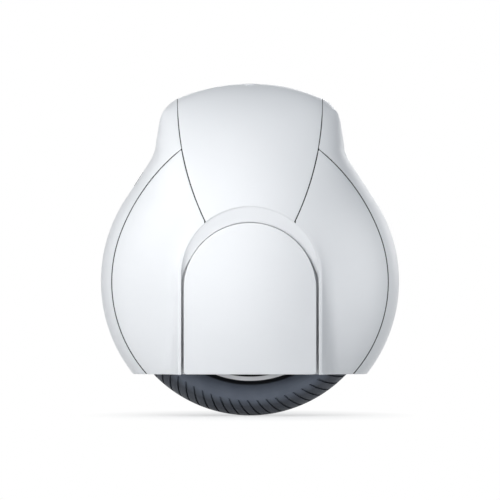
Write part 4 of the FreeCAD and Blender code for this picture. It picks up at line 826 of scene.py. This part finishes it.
def pedal(name, side):
    """One folding pedal: bulged face, rounded edges, flat back, rounded knuckle and room for the lugs."""
    outline, spine = pedal_outline()
    face = pedal_sheet(lambda x, z: skin.face(x, z) - PEDAL_INSET, outline, spine)
    back = pedal_sheet(lambda x, z: np.full_like(x, PEDAL_FOOT), outline, spine)
    outside = np.zeros_like(face) + np.array((0, 1, 0))
    shell = Shell()
    for mirror in (1, -1):
        flip = np.array((mirror, 1, 1))
        front, normals = rolled(face * flip, grid_normals(face * flip, outside), "last_column", PEDAL_ROLL, 0)
        rear, _ = rolled(back * flip, grid_normals(back * flip, -outside), "last_column", PEDAL_ROLL, 0)
        front, normals, rear = front[:, :-1], normals[:, :-1], rear[:, :-1]
        shell.grid(front, normals)
        shell.grid(rear, np.zeros_like(rear) - np.array((0, 1, 0)))
        share = np.linspace(0, 1, PEDAL_WALL_ROWS)[None, :, None]
        wall = front[:, -1:] + (rear[:, -1:] - front[:, -1:]) * share
        outward = wall - np.array((0, 0, -PEDAL_DROP))
        outward[..., 1] = 0
        shell.grid(wall, outward)
    for block in shell.points:
        round_knuckle(block)
    piece = shell.make(name, mirror=(1, side, 1))
    room_top = AXLE + HINGE_RISE - SKIRT + LUG_ROOM_RISE
    for lug in (1, -1):
        cut_box(piece, (lug * LUG_PLACE - LUG_ROOM_HALF, side * BAY_FLOOR / 2, AXLE - 2 * SKIRT),
                (lug * LUG_PLACE + LUG_ROOM_HALF, side * LUG_ROOM_FACE, room_top))
    return piece


def lens():
    """The pill-shaped indicator lens, a little proud of the crown."""
    along = np.linspace(-1, 1, LENS_STATIONS) * LENS_HALF
    columns = np.linspace(-1, 1, LENS_COLUMNS)
    past = np.maximum(np.abs(along) - LENS_HALF + LENS_ROUND, 0)
    half = np.sqrt(np.maximum(LENS_ROUND ** 2 - past ** 2, 0))
    across = half[:, None] * columns[None, :]
    places = np.broadcast_to(along[:, None] + LENS_PLACE, across.shape)
    ridge = skin.roof(places)
    low = np.full_like(ridge, NECK_HEIGHT)
    height = bisect(lambda z: skin.pillow(places, z) - np.abs(across), low, ridge)
    edge = np.hypot(columns[None, :], (past / LENS_ROUND)[:, None])
    height = height + LENS_PROUD * np.clip(1 - edge ** LENS_SHARPNESS, -1, 1)
    points = np.stack([places, across, height], axis=-1)
    shell = Shell()
    shell.grid(points, np.zeros_like(points) + np.array((0, 0, 1)))
    return shell.make("indicator_lens_cap")


def new_material(name):
    """A material with its node tree and shader."""
    material = bpy.data.materials.new(name)
    material.use_nodes = True
    tree = material.node_tree
    return material, tree, tree.nodes["Principled BSDF"]


def add(tree, kind, **values):
    """A node with its properties and named inputs set."""
    node = tree.nodes.new(kind)
    for key, value in values.items():
        if key in node.inputs:
            node.inputs[key].default_value = value
        else:
            setattr(node, key, value)
    return node


def map_range(tree, source, begin, end, low, high):
    """The output of a node that carries a number from one range to another."""
    limits = {"From Min": begin, "From Max": end, "To Min": low, "To Max": high}
    node = add(tree, "ShaderNodeMapRange", **limits)
    tree.links.new(source, node.inputs["Value"])
    return node.outputs["Result"]


def place_noise(tree, scale, detail):
    """Noise fixed to the object's own place, so that it moves with it."""
    coordinate = tree.nodes.new("ShaderNodeTexCoord")
    noise = add(tree, "ShaderNodeTexNoise", Scale=scale, Detail=detail)
    tree.links.new(coordinate.outputs["Object"], noise.inputs["Vector"])
    return noise.outputs["Fac"]


def vary(tree, shader, socket, source, low, high):
    """Drives a shader's number between two values by a noise."""
    tree.links.new(map_range(tree, source, NOISE_LOW, NOISE_HIGH, low, high), shader.inputs[socket])


def tint(tree, shader, source, dark, light):
    """Colours a shader between two near colours by a noise."""
    ramp = tree.nodes.new("ShaderNodeValToRGB")
    ramp.color_ramp.elements[0].position = NOISE_LOW
    ramp.color_ramp.elements[1].position = NOISE_HIGH
    ramp.color_ramp.elements[0].color = (*dark, 1)
    ramp.color_ramp.elements[1].color = (*light, 1)
    tree.links.new(source, ramp.inputs["Fac"])
    tree.links.new(ramp.outputs["Color"], shader.inputs["Base Color"])


def bump(tree, shader, source, strength, distance):
    """Roughens a shader's normal by a noise."""
    node = add(tree, "ShaderNodeBump", Strength=strength, Distance=distance)
    tree.links.new(source, node.inputs["Height"])
    tree.links.new(node.outputs["Normal"], shader.inputs["Normal"])


def surface(name, dark, light, rough, tint_scale=40.0, grain_scale=900.0, grain=0.1, grain_depth=0.0002,
            metal=0.0, specular=0.5, coat=0.0):
    """A moulded, cast or turned surface: two near colours, uneven gloss and a fine grain."""
    material, tree, shader = new_material(name)
    shader.inputs["Metallic"].default_value = metal
    shader.inputs["Specular IOR Level"].default_value = specular
    shader.inputs["Coat Weight"].default_value = coat
    tint(tree, shader, place_noise(tree, tint_scale, CLOUD_DETAIL), dark, light)
    vary(tree, shader, "Roughness", place_noise(tree, tint_scale * GLOSS_FINENESS, CLOUD_DETAIL), *rough)
    bump(tree, shader, place_noise(tree, grain_scale, GRAIN_DETAIL), grain, grain_depth)
    return material


def shade_by_radius(tree, *bands):
    """Scales a material's colour by the distance from the axle to paint shade or light into it: each band runs
    from one share to another.
    """
    shader = tree.nodes["Principled BSDF"]
    coordinate = tree.nodes.new("ShaderNodeTexCoord")
    flatten = add(tree, "ShaderNodeVectorMath", operation="MULTIPLY")
    flatten.inputs[1].default_value = (1, 0, 1)
    radius = add(tree, "ShaderNodeVectorMath", operation="DISTANCE")
    radius.inputs[1].default_value = (0, 0, AXLE)
    tree.links.new(coordinate.outputs["Object"], flatten.inputs[0])
    tree.links.new(flatten.outputs[0], radius.inputs[0])
    for band in bands:
        scale = add(tree, "ShaderNodeVectorMath", operation="SCALE")
        tree.links.new(shader.inputs["Base Color"].links[0].from_socket, scale.inputs[0])
        tree.links.new(map_range(tree, radius.outputs["Value"], *band), scale.inputs["Scale"])
        tree.links.new(scale.outputs[0], shader.inputs["Base Color"])


def make_materials():
    """One finish per slot of the record; the tyre's carries painted shade in the groove beside the rim and a
    sidewall painted lighter than the tread as light falling on it.
    """
    made = {slot: surface(slot, **finish) for slot, finish in FINISHES.items()}
    # Painted shade in the groove beside the rim, and painted light on the sidewall, lighter than the tread.
    shade_by_radius(made["tyre_rubber"].node_tree, (BEAD_END, SIDEWALL_BEGIN, BEAD_SHADE_SHARE, 1.0),
                    (SIDEWALL_END, TREAD_BEGIN, SIDEWALL_LIGHT_GAIN, 1.0))
    return made


def dress_nodes():
    """Gives each CAD node the finish of its slot, and the rim painted shade: its well darker than its flange.
    """
    # The rim's well inside the flange is painted dark: painted shade in the recess.
    rim_shaded_finish = materials["cast_aluminium"].copy()
    rim_shaded_finish.name = "rim_aluminium_shaded"
    shade_by_radius(rim_shaded_finish.node_tree, (WELL_END, FLANGE_BEGIN, WELL_SHADE_SHARE, 1.0))
    for entry in frame["record"]["subparts"]:
        finish = rim_shaded_finish if entry["node"] == "rim" else materials[entry["material_slot"]]
        for holder in frame["nodes"][entry["node"]].material_slots:
            holder.material = finish


def place(piece, body, slot, *nodes):
    """A finished piece: its finish, the body it moves with and the nodes it stands for."""
    piece.data.materials.clear()
    piece.data.materials.append(materials[slot])
    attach(piece, body)
    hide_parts(*nodes)


def aim(thing, target):
    """Turns a camera or a lamp to a target."""
    thing.rotation_euler = (Vector(target) - thing.location).to_track_quat("-Z", "Y").to_euler()


def make_camera():
    """A far camera level with the middle of the part, square to its right side."""
    data = bpy.data.cameras.new("camera")
    data.sensor_width = SENSOR_MM
    data.lens = SENSOR_MM * VIEW_DISTANCE / VIEW_WIDTH
    data.clip_end = VIEW_END
    camera = new_object("camera", data)
    camera.location = (0, -VIEW_DISTANCE, VIEW_HEIGHT)
    aim(camera, (0, 0, VIEW_HEIGHT))
    bpy.context.scene.camera = camera


def new_light(name, kind, location, target, power):
    """A lamp that looks at a target."""
    data = bpy.data.lights.new(name, kind)
    data.energy = power
    light = new_object(name, data)
    light.location = location
    aim(light, target)
    return light


def area_light(name, location, target, power, size, colour=(1, 1, 1)):
    """A round area lamp."""
    light = new_light(name, "AREA", location, target, power)
    light.data.shape = "DISK"
    light.data.size = size
    light.data.color = colour


def spot_light(name, location, target, power, cone):
    """A soft-edged upright spot without a mirror image; the cone is its full angle in degrees."""
    light = new_light(name, "SPOT", location, target, power)
    light.data.spot_size = math.radians(cone)
    light.data.spot_blend = 1.0
    light.data.shadow_soft_size = SPOT_SOFTNESS
    light.scale = SPOT_SCALE
    light.visible_glossy = False


def backdrop_rays(tree):
    """One for rays that show the backdrop: from the camera, mirrored or through glass."""
    path = tree.nodes.new("ShaderNodeLightPath")
    first = add(tree, "ShaderNodeMath", operation="MAXIMUM")
    tree.links.new(path.outputs["Is Camera Ray"], first.inputs[0])
    tree.links.new(path.outputs["Is Glossy Ray"], first.inputs[1])
    second = add(tree, "ShaderNodeMath", operation="MAXIMUM")
    tree.links.new(first.outputs[0], second.inputs[0])
    tree.links.new(path.outputs["Is Transmission Ray"], second.inputs[1])
    return second.outputs[0]


def make_world(strength, colour):
    """Soft light from all round, and a white backdrop for the rays that show it."""
    world = bpy.data.worlds.new("studio")
    bpy.context.scene.world = world
    world.use_nodes = True
    tree = world.node_tree
    plain = tree.nodes["Background"]
    plain.inputs["Color"].default_value = (*colour, 1)
    plain.inputs["Strength"].default_value = strength
    white = add(tree, "ShaderNodeBackground", Color=(1, 1, 1, 1), Strength=1.0)
    mix = tree.nodes.new("ShaderNodeMixShader")
    tree.links.new(backdrop_rays(tree), mix.inputs[0])
    tree.links.new(plain.outputs[0], mix.inputs[1])
    tree.links.new(white.outputs[0], mix.inputs[2])
    tree.links.new(mix.outputs[0], tree.nodes["World Output"].inputs["Surface"])


def make_floor():
    """A round floor that takes a shadow near the wheel and melts into the white backdrop farther out."""
    work = bmesh.new()
    bmesh.ops.create_circle(work, cap_ends=True, radius=FLOOR_RADIUS, segments=FLOOR_SEGMENTS)
    mesh = bpy.data.meshes.new("floor")
    work.to_mesh(mesh)
    work.free()
    floor = new_object("floor", mesh)
    material, tree, shader = new_material("floor")
    shader.inputs["Base Color"].default_value = FLOOR_COLOUR
    shader.inputs["Roughness"].default_value = FLOOR_ROUGHNESS
    shader.inputs["Specular IOR Level"].default_value = 0.0
    glow = add(tree, "ShaderNodeEmission", Strength=1.0)
    coordinate = tree.nodes.new("ShaderNodeTexCoord")
    squeeze = add(tree, "ShaderNodeVectorMath", operation="MULTIPLY")
    squeeze.inputs[1].default_value = (FLOOR_SQUEEZE, 1, 1)
    length = add(tree, "ShaderNodeVectorMath", operation="LENGTH")
    tree.links.new(coordinate.outputs["Object"], squeeze.inputs[0])
    tree.links.new(squeeze.outputs[0], length.inputs[0])
    fade = map_range(tree, length.outputs["Value"], FLOOR_FADE_BEGIN, FLOOR_FADE_END, FLOOR_GLOW_SHARE, 1.0)
    both = add(tree, "ShaderNodeMath", operation="MULTIPLY")
    mix = tree.nodes.new("ShaderNodeMixShader")
    tree.links.new(fade, both.inputs[0])
    tree.links.new(backdrop_rays(tree), both.inputs[1])
    tree.links.new(both.outputs[0], mix.inputs[0])
    tree.links.new(shader.outputs[0], mix.inputs[1])
    tree.links.new(glow.outputs[0], mix.inputs[2])
    tree.links.new(mix.outputs[0], tree.nodes["Material Output"].inputs["Surface"])
    mesh.materials.append(material)


# The part.
materials = make_materials()
dress_nodes()
tunnel_mouth = Window(MOUTH_MIDDLE, MOUTH_RISE_HALF, MOUTH_HALF, MOUTH_ROUND, MOUTH_ROUND, MOUTH_ROLL)
charge_port = Window(PORT_HEIGHT, PORT_LENGTH_HALF * skin.flank[0], PORT_HALF, PORT_ROUND,
                     PORT_ROUND * skin.flank[0], PORT_ROLL)
place(side_cover("left_side_skin", 1), "frame", "white_gloss", "left_side_cover")
place(side_cover("right_side_skin", -1), "frame", "white_gloss", "right_side_cover")
place(top_cover(), "frame", "white_gloss", "top_cover")
place(cowl("front_cowl_skin", 1, tunnel_mouth), "frame", "white_gloss", "front_cowl")
place(cowl("rear_cowl_skin", -1, tunnel_mouth, charge_port), "frame", "white_gloss", "rear_cowl")
place(pedal("left_pedal_skin", 1), "left_pedal_unit", "white_gloss", "left_pedal")
place(pedal("right_pedal_skin", -1), "right_pedal_unit", "white_gloss", "right_pedal")
place(lens(), "frame", "clear_lens", "indicator_lens")
# Dark strips of painted shade fill the seams.
place(seam_shade_strip(), "frame", "black_rubber")

# The stage.
make_camera()
make_floor()
make_world(strength=0.34, colour=(0.87, 0.93, 1.0))
area_light("key", location=(-0.35, -0.54, 0.40), target=(-0.01, -0.05, 0.23), power=1.94, size=0.36)
area_light("fill", location=(0.1, -1.5, 1.7), target=(0, 0, 0.25), power=5.9, size=1.2,
           colour=(0.93, 0.965, 1.0))
area_light("back", location=(1.6, 1.3, 0.8), target=(0, 0, 0.22), power=11.0, size=1.4)
area_light("rear", location=(0.25, 2.0, 0.9), target=(0, 0, 0.22), power=7.0, size=1.3)
spot_light("front", location=(-0.06, -1.3, 0.6), target=(-0.027, -0.08, 0.24), power=10.5, cone=13.0)
spot_light("side", location=(0.55, -1.2, 0.35), target=(0.17, -0.06, 0.2), power=12.0, cone=9.6)
bpy.context.scene.view_settings.view_transform = "Standard"
